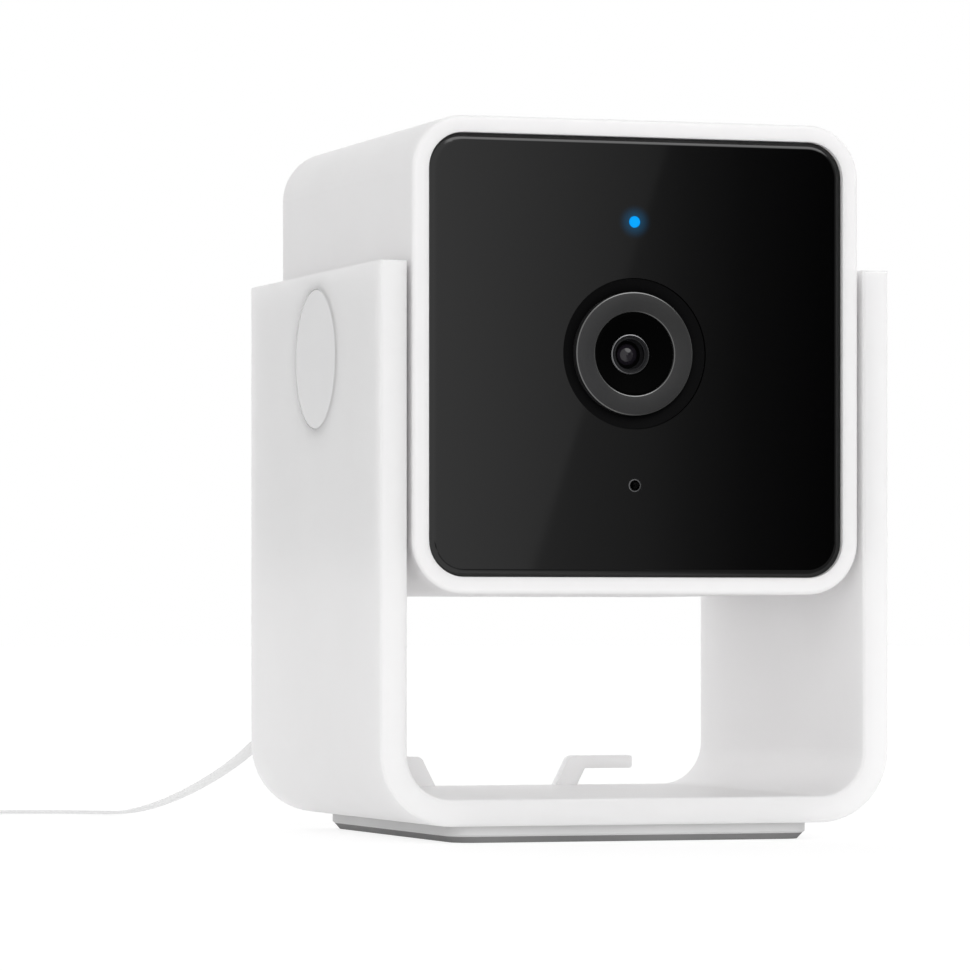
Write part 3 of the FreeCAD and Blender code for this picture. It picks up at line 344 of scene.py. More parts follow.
NODE_MATERIALS = {
    "white_plastic": ["head_shell", "rear_cover", "reset_button"],
    "stand_plastic": ["stand_frame"],
    "cap_plastic": ["pivot_caps"],
    "window": ["faceplate"],
    "lamp": ["light_pipe"],
    "glass": ["front_lens"],
    "lens_black": ["lens_barrel", "lens_holder"],
    "dish_black": ["lens_dish"],
    "ring_grey": ["lens_ring"],
    "plate_grey": ["base_plate"],
    "pad_grey": ["rubber_pad"],
    "steel": ["cover_screws", "pivot_screws", "base_screws", "spring_washers", "radio_shield",
              "usb_socket", "usb_plug_shell", "power_plug_shell", "microphone", "board_standoffs",
              "speaker_frame", "speaker_magnet"],
    "cable": ["cable_drop", "cable_floor", "cable_coil", "cable_tail", "cable_tie", "plug_boot",
              "usb_plug_body", "power_plug_body"],
    "board": ["front_board", "sensor_board", "main_board", "port_board"],
    "chip": ["image_sensor", "processor", "flex_sockets", "reset_switch"],
    "film": ["flex_cable", "wifi_antenna"],
    "clear_epoxy": ["infrared_leds", "status_led"],
    "aluminium": ["heat_spreader"],
    "cone": ["speaker_cone"],
    "foam": ["mic_gasket", "speaker_gasket"],
    "acetal": ["pivot_hubs", "friction_washers"],
}


def dress_nodes():
    for key, names in NODE_MATERIALS.items():
        for name in names:
            mesh = nodes[name].data
            mesh.materials.clear()
            mesh.materials.append(materials[key])


dress_nodes()


# ------------------------------------------------------------------ mesh helpers
def add_object(name, mesh, keys, body=None, smooth_angle=40):
    """Links a mesh as a piece with its materials; it rides on its body."""
    for key in keys:
        mesh.materials.append(materials[key])
    made = bpy.data.objects.new(name, mesh)
    bpy.context.scene.collection.objects.link(made)
    for polygon in mesh.polygons:
        polygon.use_smooth = True
    mesh.set_sharp_from_angle(angle=math.radians(smooth_angle))
    if body:
        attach(made, body)
    return made


def piece(name, mesh, keys, body, replaced=(), smooth_angle=40):
    """A detail that may stand for CAD nodes."""
    made = add_object(name, mesh, keys, body, smooth_angle)
    if replaced:
        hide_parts(*replaced)
    return made


def finished_mesh(name, bm):
    """The mesh of a bmesh, with all faces turned outwards."""
    mesh = bpy.data.meshes.new(name)
    bmesh.ops.recalc_face_normals(bm, faces=bm.faces[:])
    bm.to_mesh(mesh)
    bm.free()
    return mesh


def joined_mesh(name, parts):
    """One mesh from several, which are used up."""
    bm = bmesh.new()
    for part in parts:
        bm.from_mesh(part)
        bpy.data.meshes.remove(part)
    mesh = bpy.data.meshes.new(name)
    bm.to_mesh(mesh)
    bm.free()
    return mesh


def loft(rings, closed=False):
    """Skin over rings of points that have the same count, with its ends capped unless it is closed."""
    bm = bmesh.new()
    rows = [[bm.verts.new(p) for p in ring] for ring in rings]
    count = len(rows[0])
    pairs = list(zip(rows, rows[1:]))
    if closed:
        pairs.append((rows[-1], rows[0]))
    for low, high in pairs:
        for i in range(count):
            j = (i + 1) % count
            bm.faces.new((low[i], low[j], high[j], high[i]))
    if not closed:
        bm.faces.new(list(reversed(rows[0])))
        bm.faces.new(rows[-1])
    return finished_mesh("loft", bm)


def rounded_outline(width, height, radius, steps=6):
    """Points (a, b) round a rectangle with round corners, anticlockwise."""
    points = []
    for quarter, (side_a, side_b) in enumerate([(1, 1), (-1, 1), (-1, -1), (1, -1)]):
        for i in range(steps + 1):
            turn = math.pi / 2 * quarter + math.pi / 2 * i / steps
            points.append((side_a * (width / 2 - radius) + radius * math.cos(turn),
                           side_b * (height / 2 - radius) + radius * math.sin(turn)))
    return points


def turned(profile, centre, steps=96):
    """Revolved about a line along Y. A profile is a closed list of (radius, depth, material number of
    the band that follows); a radius of 0 is a point on the axis. Depth counts from centre, along +Y."""
    bm = bmesh.new()
    rows = []
    for radius, depth, _ in profile:
        y = centre.y + depth
        if radius == 0:
            rows.append([bm.verts.new((centre.x, y, centre.z))])
        else:
            rows.append([bm.verts.new((centre.x + radius * math.cos(2 * math.pi * i / steps), y,
                                       centre.z + radius * math.sin(2 * math.pi * i / steps)))
                         for i in range(steps)])
    for k, (_, _, material) in enumerate(profile):
        here, there = rows[k], rows[(k + 1) % len(rows)]
        if len(here) == 1 and len(there) == 1:
            continue
        for i in range(steps):
            j = (i + 1) % steps
            corners = [here[i % len(here)], here[j % len(here)],
                       there[j % len(there)], there[i % len(there)]]
            face = bm.faces.new(list(dict.fromkeys(corners)))
            face.material_index = material
    return finished_mesh("turned", bm)


def cut_mesh(mesh, cutter):
    """mesh less cutter, through a boolean modifier."""
    body = bpy.data.objects.new("cut_body", mesh)
    tool = bpy.data.objects.new("cut_tool", cutter)
    for each in (body, tool):
        bpy.context.scene.collection.objects.link(each)
    modifier = body.modifiers.new("cut", "BOOLEAN")
    modifier.operation, modifier.solver, modifier.object = "DIFFERENCE", "EXACT", tool
    shaped = body.evaluated_get(bpy.context.evaluated_depsgraph_get())
    result = bpy.data.meshes.new_from_object(shaped)
    for each in (body, tool):
        bpy.data.objects.remove(each)
    bpy.data.meshes.remove(mesh)
    bpy.data.meshes.remove(cutter)
    return result


# ------------------------------------------------------------------ flat power cable
CABLE_WIDTH = 3.6 * MM
CABLE_THICK = 0.34 * MM
CABLE_TAPER = 0.30             # the underside is narrower than the top by this share
CABLE_CORNER = 0.20            # corner radius as a share of the thickness
GROOVE_DEPTH = 0.06 * MM
GROOVE_HALF = 0.1              # half the groove's width as a share of the cable's
CABLE_Z = 0.25 * MM
DROP_DIR = Vector((-0.665, 0.747, 0)).normalized()
BOOT_END = Vector((-1.6 * MM, 39.5 * MM, port_z))
# Distance along DROP_DIR from the boot's end, and height.
DROP_ROUTE = [(0, port_z), (7.0 * MM, port_z), (13.5 * MM, 32.0 * MM), (19.0 * MM, 18.6 * MM),
              (27.0 * MM, 9.2 * MM), (36.6 * MM, 3.45 * MM), (46.0 * MM, CABLE_Z), (53.6 * MM, CABLE_Z)]
FLOOR_ROUTE = [(-41.6 * MM, 82.2 * MM), (-49.3 * MM, 84.5 * MM), (-59.4 * MM, 88.8 * MM)]
BLEND_FROM = (30 * MM, 6 * MM)     # where along the drop, and how high: make_cable works out this place but doesn't use it
COIL_START = 60.5
COIL_LEAVE = 190.0
COIL_TURNS = 14
COIL_POINTS = 16               # per turn
COIL_BUILD = 11.0 * MM
COIL_SLACK = 0.1 * MM          # between the upper layer and the CAD coil's top
CLIMB_SPEED = 1.6              # how fast the cable climbs to the upper layer
TAIL_LENGTH = 30.0 * MM
TAIL_LEVEL = 0.3               # share of the tail that leaves and arrives level
TWIST_START = 0.088            # length along the cable where it starts to turn on its edge
TWIST_END = 0.112
SPLINE_STEPS = 6
UPRIGHT = 1e-4                 # a cable direction with less than this in plan has no heading of its own

coil_centre = (coil_low + coil_high) / 2
coil_outer = (coil_high.x - coil_low.x) / 2
outer_turn = coil_outer - CABLE_THICK
inner_turn = coil_outer - COIL_BUILD + CABLE_THICK
low_layer = coil_low.z + CABLE_WIDTH / 2
high_layer = coil_high.z - CABLE_WIDTH / 2 - COIL_SLACK
leave_angle = math.radians(COIL_LEAVE)
leave_dir = Vector((-math.sin(leave_angle), math.cos(leave_angle), 0))
far_plug_low, far_plug_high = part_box("power_plug_body")
far_plug_z = (far_plug_low.z + far_plug_high.z) / 2


def coil_place(degrees, radius, z):
    angle = math.radians(degrees)
    return Vector((coil_centre.x + radius * math.cos(angle),
                   coil_centre.y + radius * math.sin(angle), z))


def smooth(t):
    t = min(1.0, max(0.0, t))
    return t * t * (3 - 2 * t)


def coil_route():
    """Lower layer wound from the outside in, upper layer from the inside out."""
    sweep = COIL_TURNS * 360 + COIL_LEAVE - COIL_START
    steps = round(sweep / 360 * COIL_POINTS)
    points = []
    for i in range(1, steps + 1):
        share = i / steps
        inward = 1 - abs(1 - 2 * share)
        radius = outer_turn + (inner_turn - outer_turn) * inward
        rise = smooth((share - 0.5) * COIL_TURNS * CLIMB_SPEED + 0.5)
        z = low_layer + (high_layer - low_layer) * rise
        points.append(coil_place(COIL_START + sweep * share, radius, z))
    return points


def cable_route():
    drop = [BOOT_END + DROP_DIR * s + Vector((0, 0, z - port_z)) for s, z in DROP_ROUTE]
    table = [Vector((x, y, CABLE_Z)) for x, y in FLOOR_ROUTE]
    arrive = coil_place(COIL_START, outer_turn, low_layer)
    turns = coil_route()
    end = turns[-1] + leave_dir * TAIL_LENGTH
    end.z = far_plug_z
    level = leave_dir * (TAIL_LENGTH * TAIL_LEVEL)
    return drop + table + [arrive] + turns + [turns[-1] + level, end - level, end]


def nurbs_path(points):
    """The smooth line of a quadratic NURBS spline with these control points."""
    curve = bpy.data.curves.new("cable_line", "CURVE")
    curve.dimensions = "3D"
    curve.resolution_u = SPLINE_STEPS
    spline = curve.splines.new("NURBS")
    spline.points.add(len(points) - 1)
    for place, point in zip(spline.points, points):
        place.co = (*point, 1)
    spline.order_u = 3
    spline.use_endpoint_u = True
    holder = bpy.data.objects.new("cable_line", curve)
    line = bpy.data.meshes.new_from_object(holder)
    path = [v.co.copy() for v in line.vertices]
    bpy.data.objects.remove(holder)
    bpy.data.curves.remove(curve)
    bpy.data.meshes.remove(line)
    return path


def cable_section():
    """Flat jacket with a narrower underside and a shallow groove between its two cores, both above and
    below, as (across, thick)."""
    corner_steps = 3
    points = rounded_outline(CABLE_WIDTH, CABLE_THICK, CABLE_THICK * CABLE_CORNER, corner_steps)
    top = [(x * CABLE_WIDTH, CABLE_THICK / 2 - dip)
           for x, dip in ((GROOVE_HALF, 0), (0.0, GROOVE_DEPTH), (-GROOVE_HALF, 0))]
    bottom = [(-x, -y) for x, y in top]
    corner, half = corner_steps + 1, len(points) // 2
    whole = points[:corner] + top + points[corner:half + corner] + bottom + points[half + corner:]
    return [(a * (1 - CABLE_TAPER * (0.5 - b / CABLE_THICK)), b) for a, b in whole]


def make_cable():
    """The ribbon lies flat on the table and stands on its edge in the coil."""
    path = nurbs_path(cable_route())
    section = cable_section()
    rings, run = [], 0.0
    for i, here in enumerate(path):
        before, after = path[max(i - 1, 0)], path[min(i + 1, len(path) - 1)]
        if i:
            run += (here - path[i - 1]).length
        along = (after - before).normalized()
        plan = Vector((along.x, along.y, 0))
        plan = plan.normalized() if plan.length > UPRIGHT else DROP_DIR
        flat = Vector((-plan.y, plan.x, 0))
        edge = smooth((run - TWIST_START) / (TWIST_END - TWIST_START)) * math.pi / 2
        across = flat * math.cos(edge) + Vector((0, 0, 1)) * math.sin(edge)
        across = (across - along * across.dot(along)).normalized()
        thin = along.cross(across)
        rings.append([here + across * a + thin * b for a, b in section])
    made = piece("power_cable", loft(rings), ["cable"], None,
                 ["cable_drop", "cable_floor", "cable_coil", "cable_tail"])
    start = BOOT_END + DROP_DIR * BLEND_FROM[0]
    start.z = BLEND_FROM[1]
    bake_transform(made)
    return made, path


cable, cable_path = make_cable()

# ------------------------------------------------------------------ lens
lens_front = Vector((lens_axis.x, window_y, lens_axis.z))
RING_OUTER = 6.95 * MM
RING_INNER = 4.70 * MM
RING_SEAT = 1.55 * MM
RING_SLICES = 160
RING_LINE = 0.15 * MM          # the rolled edge round the outside, in the lighter metal of a painted highlight
RING_LIP = 0.13 * MM           # and inside
ROLL = [(0.0, 1.0), (0.15, 0.45), (0.55, 0.12), (1.0, 0.0)]    # a rolled edge, as shares inwards and down
BARREL_FRONT = 1.64 * MM
MOUTH_FRONT = 1.42 * MM        # the barrel's grey rim stands this deep behind the window
MOUTH_OUTER = 2.30 * MM
MOUTH_LINE = 0.16 * MM
MOUTH_INNER = 1.95 * MM
MOUTH_DIP = 0.12 * MM          # from the rim's face to the start of its slope
MOUTH_END = 1.57 * MM          # radius at the foot of the rim's inner slope
MOUTH_FLOOR = 2.65 * MM        # and its depth
MOUTH_BORE = 1.74 * MM
MOUTH_STEPS = 6
STEP_SIZE = 0.03 * MM
GLASS_RADIUS = 1.18 * MM
GLASS_CROWN = 0.50 * MM
GLASS_SEAT = 2.66 * MM
GLASS_BACK = 3.6 * MM
GLASS_STEPS = 16
SEAT_RADIUS = 1.72 * MM
MIC_DROP = 14.8 * MM           # below the lens axis
MIC_RIM = (0.60 * MM, 0.72 * MM)
MIC_PROUD = 0.02 * MM
MIC_SLICES = 48


def highlight_bands(points):
    """These (radius, depth) points with the lighter edge material, a painted highlight, on the bands between
    them.
    """
    return [(*point, 1) for point in points[:-1]] + [(*points[-1], 0)]


def make_lens_ring():
    """Flat satin ring whose outer and inner edges are rolled over and given a lighter metal that paints
    their highlight lines; they also mirror the studio.
    """
    outer = [(RING_OUTER - RING_LINE * inward, RING_LINE * down) for inward, down in ROLL]
    inner = [(RING_INNER + RING_LIP * inward, RING_LIP * down) for inward, down in reversed(ROLL)]
    profile = [(RING_OUTER, RING_SEAT, 0)] + highlight_bands(outer) + highlight_bands(inner) + [(RING_INNER, RING_SEAT, 0)]
    piece("lens_ring_dressed", turned(profile, lens_front, RING_SLICES), ["ring_grey", "ring_edge_highlight"], "head",
          ["lens_ring"], 35)


def make_barrel_mouth():
    """Grey rim of the lens barrel with a fine edge in a lighter metal, a painted highlight line, and a
    stepped inner slope.
    """
    slope_start = MOUTH_FRONT + MOUTH_DIP
    edge = [(MOUTH_OUTER - MOUTH_LINE * inward, MOUTH_FRONT + MOUTH_LINE * down) for inward, down in ROLL]
    profile = [(MOUTH_OUTER, BARREL_FRONT, 0)] + highlight_bands(edge) + [(MOUTH_INNER, slope_start, 0)]
    for i in range(1, MOUTH_STEPS + 1):
        share = i / MOUTH_STEPS
        radius = MOUTH_INNER + (MOUTH_END - MOUTH_INNER) * share
        depth = slope_start + (MOUTH_FLOOR - slope_start) * share
        profile.append((radius + STEP_SIZE, depth - STEP_SIZE, 0))
        profile.append((radius, depth, 0))
    profile += [(MOUTH_BORE, MOUTH_FLOOR, 0), (MOUTH_BORE, BARREL_FRONT, 0)]
    piece("barrel_mouth", turned(profile, lens_front), ["mouth_grey", "mouth_edge_highlight"], "head", [],
          15)


def make_glass():
    """Small domed front element in a black seat."""
    ball = (GLASS_RADIUS ** 2 + GLASS_CROWN ** 2) / (2 * GLASS_CROWN)
    top = GLASS_SEAT - GLASS_CROWN
    profile = [(0, top, 0)]
    for i in range(1, GLASS_STEPS + 1):
        radius = GLASS_RADIUS * i / GLASS_STEPS
        profile.append((radius, top + ball - math.sqrt(ball ** 2 - radius ** 2), 0))
    profile[-1] = (*profile[-1][:2], 1)
    profile += [(SEAT_RADIUS, GLASS_SEAT, 1), (SEAT_RADIUS, GLASS_BACK, 1), (0, GLASS_BACK, 1)]
    piece("lens_element", turned(profile, lens_front), ["glass", "lens_black"], "head", ["front_lens"],
          30)


def make_mic_rim():
    """Barely proud ring round the microphone's hole in the lighter edge metal, a painted highlight for the
    hole's lit edge.
    """
    inner, outer = MIC_RIM
    centre = Vector((lens_axis.x, window_y, lens_axis.z - MIC_DROP))
    profile = [(inner, 0.0, 0), (inner, -MIC_PROUD, 0), (outer - MIC_PROUD, -MIC_PROUD, 0), (outer, 0.0, 0)]
    piece("mic_rim", turned(profile, centre, MIC_SLICES), ["mouth_edge_highlight"], "head", [], 20)


# ------------------------------------------------------------------ back of the head
SCREW_HEAD = 1.9 * MM
SCREW_HEAD_LONG = 1.3 * MM
# The pan head, as shares of its radius and depths.
SCREW_CROWN = [(0.0, 0.0), (0.62, 0.0), (0.86, 0.12 * MM), (0.97, 0.34 * MM), (1.0, 0.6 * MM),
               (1.0, SCREW_HEAD_LONG)]
SCREW_SHANK = 1.0 * MM
SCREW_CORE = 0.8               # share of the shank between the threads
SCREW_TIP = 0.5 * MM
SCREW_POINT = 0.5              # share of the shank at the very end
SCREW_SLICES = 32
THREAD_PITCH = 0.8 * MM
THREAD_START = 1 * MM          # below the head
CROSS_ARM = (2.2 * MM, 0.55 * MM, 0.8 * MM)      # length, width and depth
CROSS_LIFT = 0.2 * MM
CROSS_FOOT = (0.4, 2 / 3)      # length and width at the bottom, as shares


def wedge_cutter(at, turn):
    """A wedge for one arm of a cross recess, open towards +Y."""
    across, width, depth = CROSS_ARM
    bm = bmesh.new()
    wedge = []
    for y, share_across, share_width in ((CROSS_LIFT, 1, 1), (-depth, *CROSS_FOOT)):
        a, b = across / 2 * share_across, width / 2 * share_width
        wedge += [bm.verts.new(v) for v in ((-a, y, -b), (a, y, -b), (a, y, b), (-a, y, b))]
    for face in ((0, 1, 2, 3), (7, 6, 5, 4), (0, 4, 5, 1), (1, 5, 6, 2), (2, 6, 7, 3), (3, 7, 4, 0)):
        bm.faces.new([wedge[corner] for corner in face])
    place = Matrix.Translation(at) @ Matrix.Rotation(turn, 4, "Y")
    bmesh.ops.transform(bm, matrix=place, verts=wedge)
    return finished_mesh("wedge", bm)


def screw_profile(end):
    """From the head's top down to the tip, at a depth of end."""
    profile = [(SCREW_HEAD * share, -down, 0) for share, down in SCREW_CROWN]
    core = SCREW_SHANK * SCREW_CORE
    turns = int((-end - SCREW_HEAD_LONG - 2 * THREAD_START) / THREAD_PITCH)
    for i in range(turns):
        depth = -SCREW_HEAD_LONG - THREAD_START - i * THREAD_PITCH
        profile += [(core, depth, 0), (SCREW_SHANK, depth - THREAD_PITCH / 2, 0)]
    return profile + [(core, end + SCREW_TIP, 0), (SCREW_SHANK * SCREW_POINT, end, 0), (0, end, 0)]


def make_screws():
    """Four pan-head screws with a cross recess and a rolled thread."""
    low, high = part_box("cover_screws")
    screws = []
    for x in (low.x + SCREW_HEAD, high.x - SCREW_HEAD):
        for z in (low.z + SCREW_HEAD, high.z - SCREW_HEAD):
            top = Vector((x, high.y, z))
            screw = turned(screw_profile(low.y - high.y), top, SCREW_SLICES)
            for turn in (math.pi / 4, math.pi * 3 / 4):
                screw = cut_mesh(screw, wedge_cutter(top, turn))
            screws.append(screw)
    piece("cover_screws_cross", joined_mesh("screws", screws), ["steel"], "head", ["cover_screws"],
          30)


# ------------------------------------------------------------------ plugs, boot and strap
def outline_rings(stations, place):
    """Rings of a body along +Y, put in place. A station is (y, width, height, corner)."""
    return [[place @ Vector((a, y, b)) for a, b in rounded_outline(width, height, corner)]
            for y, width, height, corner in stations]


def shrunk(size, cut):
    """A station's (width, height, corner), smaller by cut across."""
    width, height, corner = size
    return width - cut, height - cut, corner - cut / 2


PLUG_SIZE = (10.6 * MM, 6.6 * MM, 1.5 * MM)
PLUG_FRONT = (0.3 * MM, 0.6 * MM)                # length of the soft end, and what it loses across
PLUG_BACK = [(0.8 * MM, 0.0, 0.0), (0.25 * MM, 0.4 * MM, 0.2 * MM), (0.0, 1.4 * MM, 0.6 * MM)]
GRIP_FROM = 5.6 * MM                             # first groove, from the plug's back
GRIP_PITCH = 1.4 * MM
GRIP_DEEP = 0.5 * MM
GRIP_EDGES = (0.15 * MM, 0.55 * MM, 0.7 * MM)    # a groove's slopes


def make_usb_plug():
    """Moulded plug body with three grip grooves round it and soft ends."""
    front, back = plug_low.y, plug_high.y
    stations = [(front, *shrunk(PLUG_SIZE, PLUG_FRONT[1])), (front + PLUG_FRONT[0], *PLUG_SIZE)]
    groove = shrunk(PLUG_SIZE, GRIP_DEEP)
    down, bottom, up = GRIP_EDGES
    for i in range(3):
        y = back - GRIP_FROM + i * GRIP_PITCH
        stations += [(y, *PLUG_SIZE), (y + down, *groove), (y + bottom, *groove), (y + up, *PLUG_SIZE)]
    width, height, corner = PLUG_SIZE
    for ahead, cut, corner_cut in PLUG_BACK:
        stations.append((back - ahead, width - cut, height - cut, corner - corner_cut))
    rings = outline_rings(stations, Matrix.Translation((0, 0, port_z)))
    piece("usb_plug_grip", loft(rings), ["cable"], "head", ["usb_plug_body"], 50)


# Width, height and corner at the plug and at the cable.
BOOT_SIZES = ((6.2 * MM, 4.2 * MM), (3.6 * MM, 1.0 * MM), (0.9 * MM, 0.3 * MM))
BOOT_RIBS = 6
BOOT_GROOVE = 0.88             # size in the grooves between the ribs
BOOT_BEND = 1.6                # how late the boot turns to the side


def make_boot():
    """Ribbed strain relief that tapers from the plug to the flat cable and turns to the side."""
    start = Vector((0, boot_y, port_z))
    turn_end = math.atan2(DROP_DIR.y, DROP_DIR.x) - math.pi / 2
    rings = []
    steps = BOOT_RIBS * 4
    for i in range(steps + 1):
        share = i / steps
        here = start.lerp(BOOT_END, share)
        here.x = BOOT_END.x * share ** BOOT_BEND
        grooved = i % 4 in (1, 2) and 0 < i < steps - 2
        size = [(a + (b - a) * share) * (BOOT_GROOVE if grooved else 1.0) for a, b in BOOT_SIZES]
        across = Matrix.Rotation(turn_end * smooth(share), 4, "Z")
        rings.append([here + across @ Vector((a, 0, 0)) + Vector((0, 0, b))
                      for a, b in rounded_outline(*size)])
    piece("cable_boot", loft(rings), ["cable"], "head", ["plug_boot"], 35)


FAR_PLUG_SIZE = (15.6 * MM, 8.0 * MM, 1.5 * MM)
# The ringed neck, as (y, width, height, corner) in millimetres.
FAR_PLUG_NECK = [(0.0, 2.0, 5.2, 0.8), (2.0, 4.8, 5.6, 1.0), (2.2, 4.4, 5.2, 1.0), (3.0, 5.4, 5.4, 1.1),
                 (3.2, 6.4, 5.8, 1.1), (5.0, 8.8, 6.1, 1.2), (7.0, 12.6, 6.5, 1.4), (7.0, 14.6, 7.0, 1.5)]
FAR_PLUG_BODY = (7.5 * MM, 25.2 * MM, 26.0 * MM)     # full width from, to, and the end
FAR_PLUG_END_CUT = (1.6 * MM, 0.6 * MM)              # what width and height, and the corner, lose there
FAR_PLUG_INSET = 0.4 * MM                            # of the plug's line inside the coil's outer face
RIDGE_FROM = 11.0 * MM
RIDGE_PITCH = 1.6 * MM
RIDGE_COUNT = 6
RIDGE_DEEP = 0.6 * MM
RIDGE_EDGES = (0.2 * MM, 0.7 * MM, 0.9 * MM)


def make_power_plug():
    """Moulded outlet plug: tapered neck with rings, a block with grip ridges round it."""
    start = coil_place(COIL_LEAVE, coil_outer - FAR_PLUG_INSET, far_plug_z) + leave_dir * TAIL_LENGTH
    full_from, full_to, end = FAR_PLUG_BODY
    width, height, corner = FAR_PLUG_SIZE
    cut, corner_cut = FAR_PLUG_END_CUT
    stations = [[number * MM for number in station] for station in FAR_PLUG_NECK]
    stations.append((full_from, *FAR_PLUG_SIZE))
    groove = shrunk(FAR_PLUG_SIZE, RIDGE_DEEP)
    down, bottom, up = RIDGE_EDGES
    for i in range(RIDGE_COUNT):
        y = RIDGE_FROM + i * RIDGE_PITCH
        stations += [(y, *FAR_PLUG_SIZE), (y + down, *groove), (y + bottom, *groove),
                     (y + up, *FAR_PLUG_SIZE)]
    stations += [(full_to, *FAR_PLUG_SIZE), (end, width - cut, height - cut, corner - corner_cut)]
    heading = math.atan2(leave_dir.y, leave_dir.x) - math.pi / 2
    place = Matrix.Translation(start) @ Matrix.Rotation(heading, 4, "Z")
    piece("power_plug_grip", loft(outline_rings(stations, place)), ["cable"], "stand",
          ["power_plug_body"], 35)


STRAP_WIDTH = 6.0 * MM
STRAP_THICK = 0.25 * MM
STRAP_ANGLE = math.radians(300)
STRAP_REACH = (14.40 * MM, 26.30 * MM)     # its outside, from the coil's middle
STRAP_HEIGHT = (0.05 * MM, 8.15 * MM)
STRAP_CORNER = 0.9 * MM
STRAP_ROUND = 0.45                         # radius of its edges as a share of the thickness
STRAP_TAB = (-0.28, -0.24, 0.1, 0.2, 0.30)  # the overlapping end, as shares of the strap's length on top
STRAP_TAB_LIFT = 0.06 * MM


def strap_band(points, is_open, middle, place):
    """Rings of the strap's section along these (outwards, up) points."""
    section = rounded_outline(STRAP_WIDTH, STRAP_THICK, STRAP_THICK * STRAP_ROUND, 2)
    rings = []
    count = len(points)
    for i, (a, b) in enumerate(points):
        before = points[i] if is_open and i == 0 else points[(i - 1) % count]
        after = points[i] if is_open and i == count - 1 else points[(i + 1) % count]
        along = Vector((after[0] - before[0], 0, after[1] - before[1])).normalized()
        out = Vector((along.z, 0, -along.x))
        here = middle + Vector((a, 0, b))
        rings.append([place @ (here + Vector((0, u, 0)) + out * v) for u, v in section])
    return rings


def make_strap():
    """Woven strap round the coil, with rounded corners and an overlapping end."""
    (low, high), (bottom, top) = STRAP_REACH, STRAP_HEIGHT
    middle = Vector(((low + high) / 2, 0, (bottom + top) / 2))
    place = Matrix.Translation((coil_centre.x, coil_centre.y, 0)) @ Matrix.Rotation(STRAP_ANGLE, 4, "Z")
    path = rounded_outline(high - low - STRAP_THICK, top - bottom - STRAP_THICK, STRAP_CORNER, 6)
    tab_path = [((high - low) * share, (top - bottom) / 2 + STRAP_TAB_LIFT) for share in STRAP_TAB]
    loop = loft(strap_band(path, False, middle, place), closed=True)
    tab = loft(strap_band(tab_path, True, middle, place))
    piece("cable_strap", joined_mesh("strap", [loop, tab]), ["strap"], "stand", ["cable_tie"],
          40)


make_lens_ring()
make_barrel_mouth()
make_glass()
make_mic_rim()
make_screws()
make_usb_plug()
make_boot()
make_power_plug()
make_strap()


# ------------------------------------------------------------------ table
TABLE_HALF_SIDE = 6.0
TABLE_BELOW = 0.05 * MM
TABLE_MATTE = 0.70
TABLE_MATTE_SEEN = 0.30
TABLE_WHITE = 0.78
# Glow of the table, as (distance from the middle, strength): dim under the object, brighter round it.
TABLE_REACH = 0.15
TABLE_STOPS = [(0.040, 0.26), (0.052, 0.38), (0.085, 0.38), (0.120, 0.19)]
# A painted dark patch on the table before the object, towards the right, which only gloss sees: a painted
# dark reflection.
# It runs from the first side below, where it is pale, to the second, where it is black, in front of the back
# edge below.
CARD_SIDES = (-0.003, 0.036)
GLOSS_ONLY_DARK_BACK = (-0.027, -0.031)


def backdrop_seen(tree):
    """1 for the rays that look at the backdrop: from the camera, off gloss and through glass."""
    path = node(tree, "ShaderNodeLightPath")
    seen = maths(tree, "MAXIMUM", path.outputs["Is Camera Ray"], path.outputs["Is Glossy Ray"])
    return maths(tree, "MAXIMUM", seen, path.outputs["Is Transmission Ray"])


def glowing_matte(tree, colour, glow):
    """A matte surface that also gives some light of its own, like an opal table lit from below."""
    matte = node(tree, "ShaderNodeBsdfDiffuse")
    matte.inputs["Color"].default_value = (colour, colour, colour, 1)
    light = node(tree, "ShaderNodeEmission")
    tree.links.new(glow, light.inputs["Strength"])
    both = node(tree, "ShaderNodeAddShader")
    tree.links.new(matte.outputs[0], both.inputs[0])
    tree.links.new(light.outputs[0], both.inputs[1])
    return both.outputs[0]


def table_seen(tree):
    """Brightness of the table in mirrors and in the picture: white, but for the painted dark patch that only
    gloss sees, a painted dark reflection.
    """
    parts = node(tree, "ShaderNodeSeparateXYZ")
    tree.links.new(object_place(tree), parts.inputs[0])
    shade = node(tree, "ShaderNodeLightPath").outputs["Is Glossy Ray"]
    # the painted dark reflection's mask, over x and y, for glossy rays only
    for axis, edge in (("X", CARD_SIDES), ("Y", GLOSS_ONLY_DARK_BACK)):
        shade = maths(tree, "MULTIPLY", shade, mapped(tree, parts.outputs[axis], *edge))
    return maths(tree, "MULTIPLY", maths(tree, "SUBTRACT", 1.0, shade), TABLE_WHITE)


def table_material():
    material = bpy.data.materials.new("floor_white")
    material.use_nodes = True
    tree = material.node_tree
    tree.nodes.clear()
    far = maths(tree, "DIVIDE", vector_maths(tree, "LENGTH", object_place(tree)), TABLE_REACH)
    glow = brightness_ramp(tree, far, [(reach / TABLE_REACH, strength) for reach, strength in TABLE_STOPS])
    mix = node(tree, "ShaderNodeMixShader")
    tree.links.new(backdrop_seen(tree), mix.inputs["Fac"])
    tree.links.new(glowing_matte(tree, TABLE_MATTE, glow), mix.inputs[1])
    tree.links.new(glowing_matte(tree, TABLE_MATTE_SEEN, table_seen(tree)), mix.inputs[2])
    output = node(tree, "ShaderNodeOutputMaterial")
    tree.links.new(mix.outputs[0], output.inputs["Surface"])
    return material


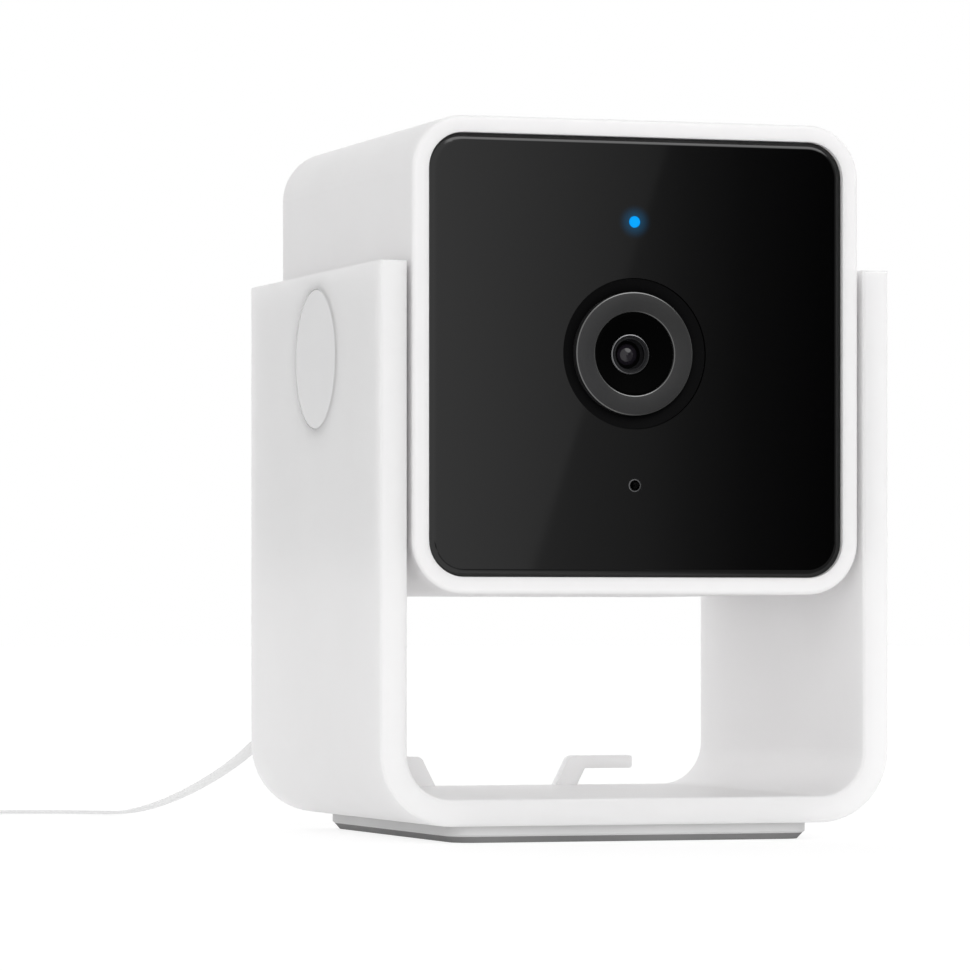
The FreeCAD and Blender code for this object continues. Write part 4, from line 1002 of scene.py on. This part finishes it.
def make_table():
    bm = bmesh.new()
    bmesh.ops.create_grid(bm, x_segments=1, y_segments=1, size=TABLE_HALF_SIDE)
    mesh = bpy.data.meshes.new("floor")
    bm.to_mesh(mesh)
    bm.free()
    mesh.materials.append(table_material())
    floor = bpy.data.objects.new("floor", mesh)
    floor.location = (0, 0, -TABLE_BELOW)
    bpy.context.scene.collection.objects.link(floor)


# ------------------------------------------------------------------ backdrop and light
# Brightness of the studio: all round, and added towards each side, as (direction, level).
STUDIO_LEVEL = 0.12
STUDIO_LOBES = [((-1, 0, 0), 0.06), ((1, 0, 0), 0.66), ((0, 1, 0), 1.0), ((0, -1, 0), 0.06),
                ((0, 0, 1), 0.30)]
# The dark flag at the front right. Along FLAG_ACROSS, from -FLAG_SPAN to FLAG_SPAN: place, brightness.
FLAG_ACROSS = (1.0, 0.36, 0.0)
FLAG_SPAN = 0.06
FLAG_STOPS = [(-0.060, 1.0), (-0.042, 0.87), (-0.0268, 0.70), (-0.0072, 0.47), (0.0007, 0.387),
              (0.0085, 0.24), (0.0203, 0.10), (0.0359, 0.02)]
FLAG_SHEEN = ((1.0, 0.3335, -0.336), -0.0005, 0.0005, 1.0, 0.64)     # dimmer right of a slanting edge
# Where the flag ends, as (direction, from, to, brightness before and beyond): at the far right, above
# and behind. The last is the softbox that edges and lens mirror.
FLAG_ENDS = [((1.0, 0.36, 0.0), 0.08, 0.60, 0.0, 0.5), ((0, 0, 1), 0.25, 0.65, 0.0, 1.0),
             ((0, 1, 0), -0.3, 0.1, 0.0, 1.0), ((0.31, -0.70, 0.65), 0.90, 0.955, 0.0, 3.5)]
SUN_FROM = (-0.25, -1.0, 0.35)
SUN_LEVEL = 1.43
SUN_WIDTH = math.radians(50)


def along_direction(tree, direction, low, high, to_low=0.0, to_high=1.0):
    """Maps low to high along a direction on to to_low to to_high, over the sky."""
    sky = node(tree, "ShaderNodeTexCoord").outputs["Generated"]
    return mapped(tree, vector_maths(tree, "DOT_PRODUCT", sky, direction), low, high, to_low, to_high)


def make_world():
    """A pale studio, brighter behind and at the right, with a dark flag to the front right that the
    black window mirrors."""
    world = bpy.data.worlds.new("studio")
    bpy.context.scene.world = world
    world.use_nodes = True
    tree = world.node_tree
    tree.nodes.clear()
    stops = [((place + FLAG_SPAN) / (2 * FLAG_SPAN), value) for place, value in FLAG_STOPS]
    flag = brightness_ramp(tree, along_direction(tree, FLAG_ACROSS, -FLAG_SPAN, FLAG_SPAN), stops)
    flag = maths(tree, "MULTIPLY", flag, along_direction(tree, *FLAG_SHEEN))
    for end in FLAG_ENDS:
        flag = maths(tree, "MAXIMUM", flag, along_direction(tree, *end))
    lighting = STUDIO_LEVEL
    for direction, level in STUDIO_LOBES:
        lighting = maths(tree, "ADD", lighting, along_direction(tree, direction, 0.0, 1.0, 0.0, level))
    mix = node(tree, "ShaderNodeMixShader")
    tree.links.new(backdrop_seen(tree), mix.inputs["Fac"])
    for socket, brightness in zip((mix.inputs[1], mix.inputs[2]), (lighting, flag)):
        background = node(tree, "ShaderNodeBackground")
        tree.links.new(brightness, background.inputs["Color"])
        tree.links.new(background.outputs[0], socket)
    output = node(tree, "ShaderNodeOutputWorld")
    tree.links.new(mix.outputs[0], output.inputs["Surface"])


def add_front_lamp():
    """A soft lamp far away at the front, which gloss doesn't mirror."""
    data = bpy.data.lights.new("front_lamp", "SUN")
    data.energy = SUN_LEVEL
    data.angle = SUN_WIDTH
    sun = bpy.data.objects.new("front_lamp", data)
    sun.rotation_mode = "QUATERNION"
    sun.rotation_quaternion = Vector(SUN_FROM).to_track_quat("Z", "Y")
    sun.visible_glossy = False
    bpy.context.scene.collection.objects.link(sun)


make_table()
make_world()
add_front_lamp()
bpy.context.scene.view_settings.view_transform = "Standard"
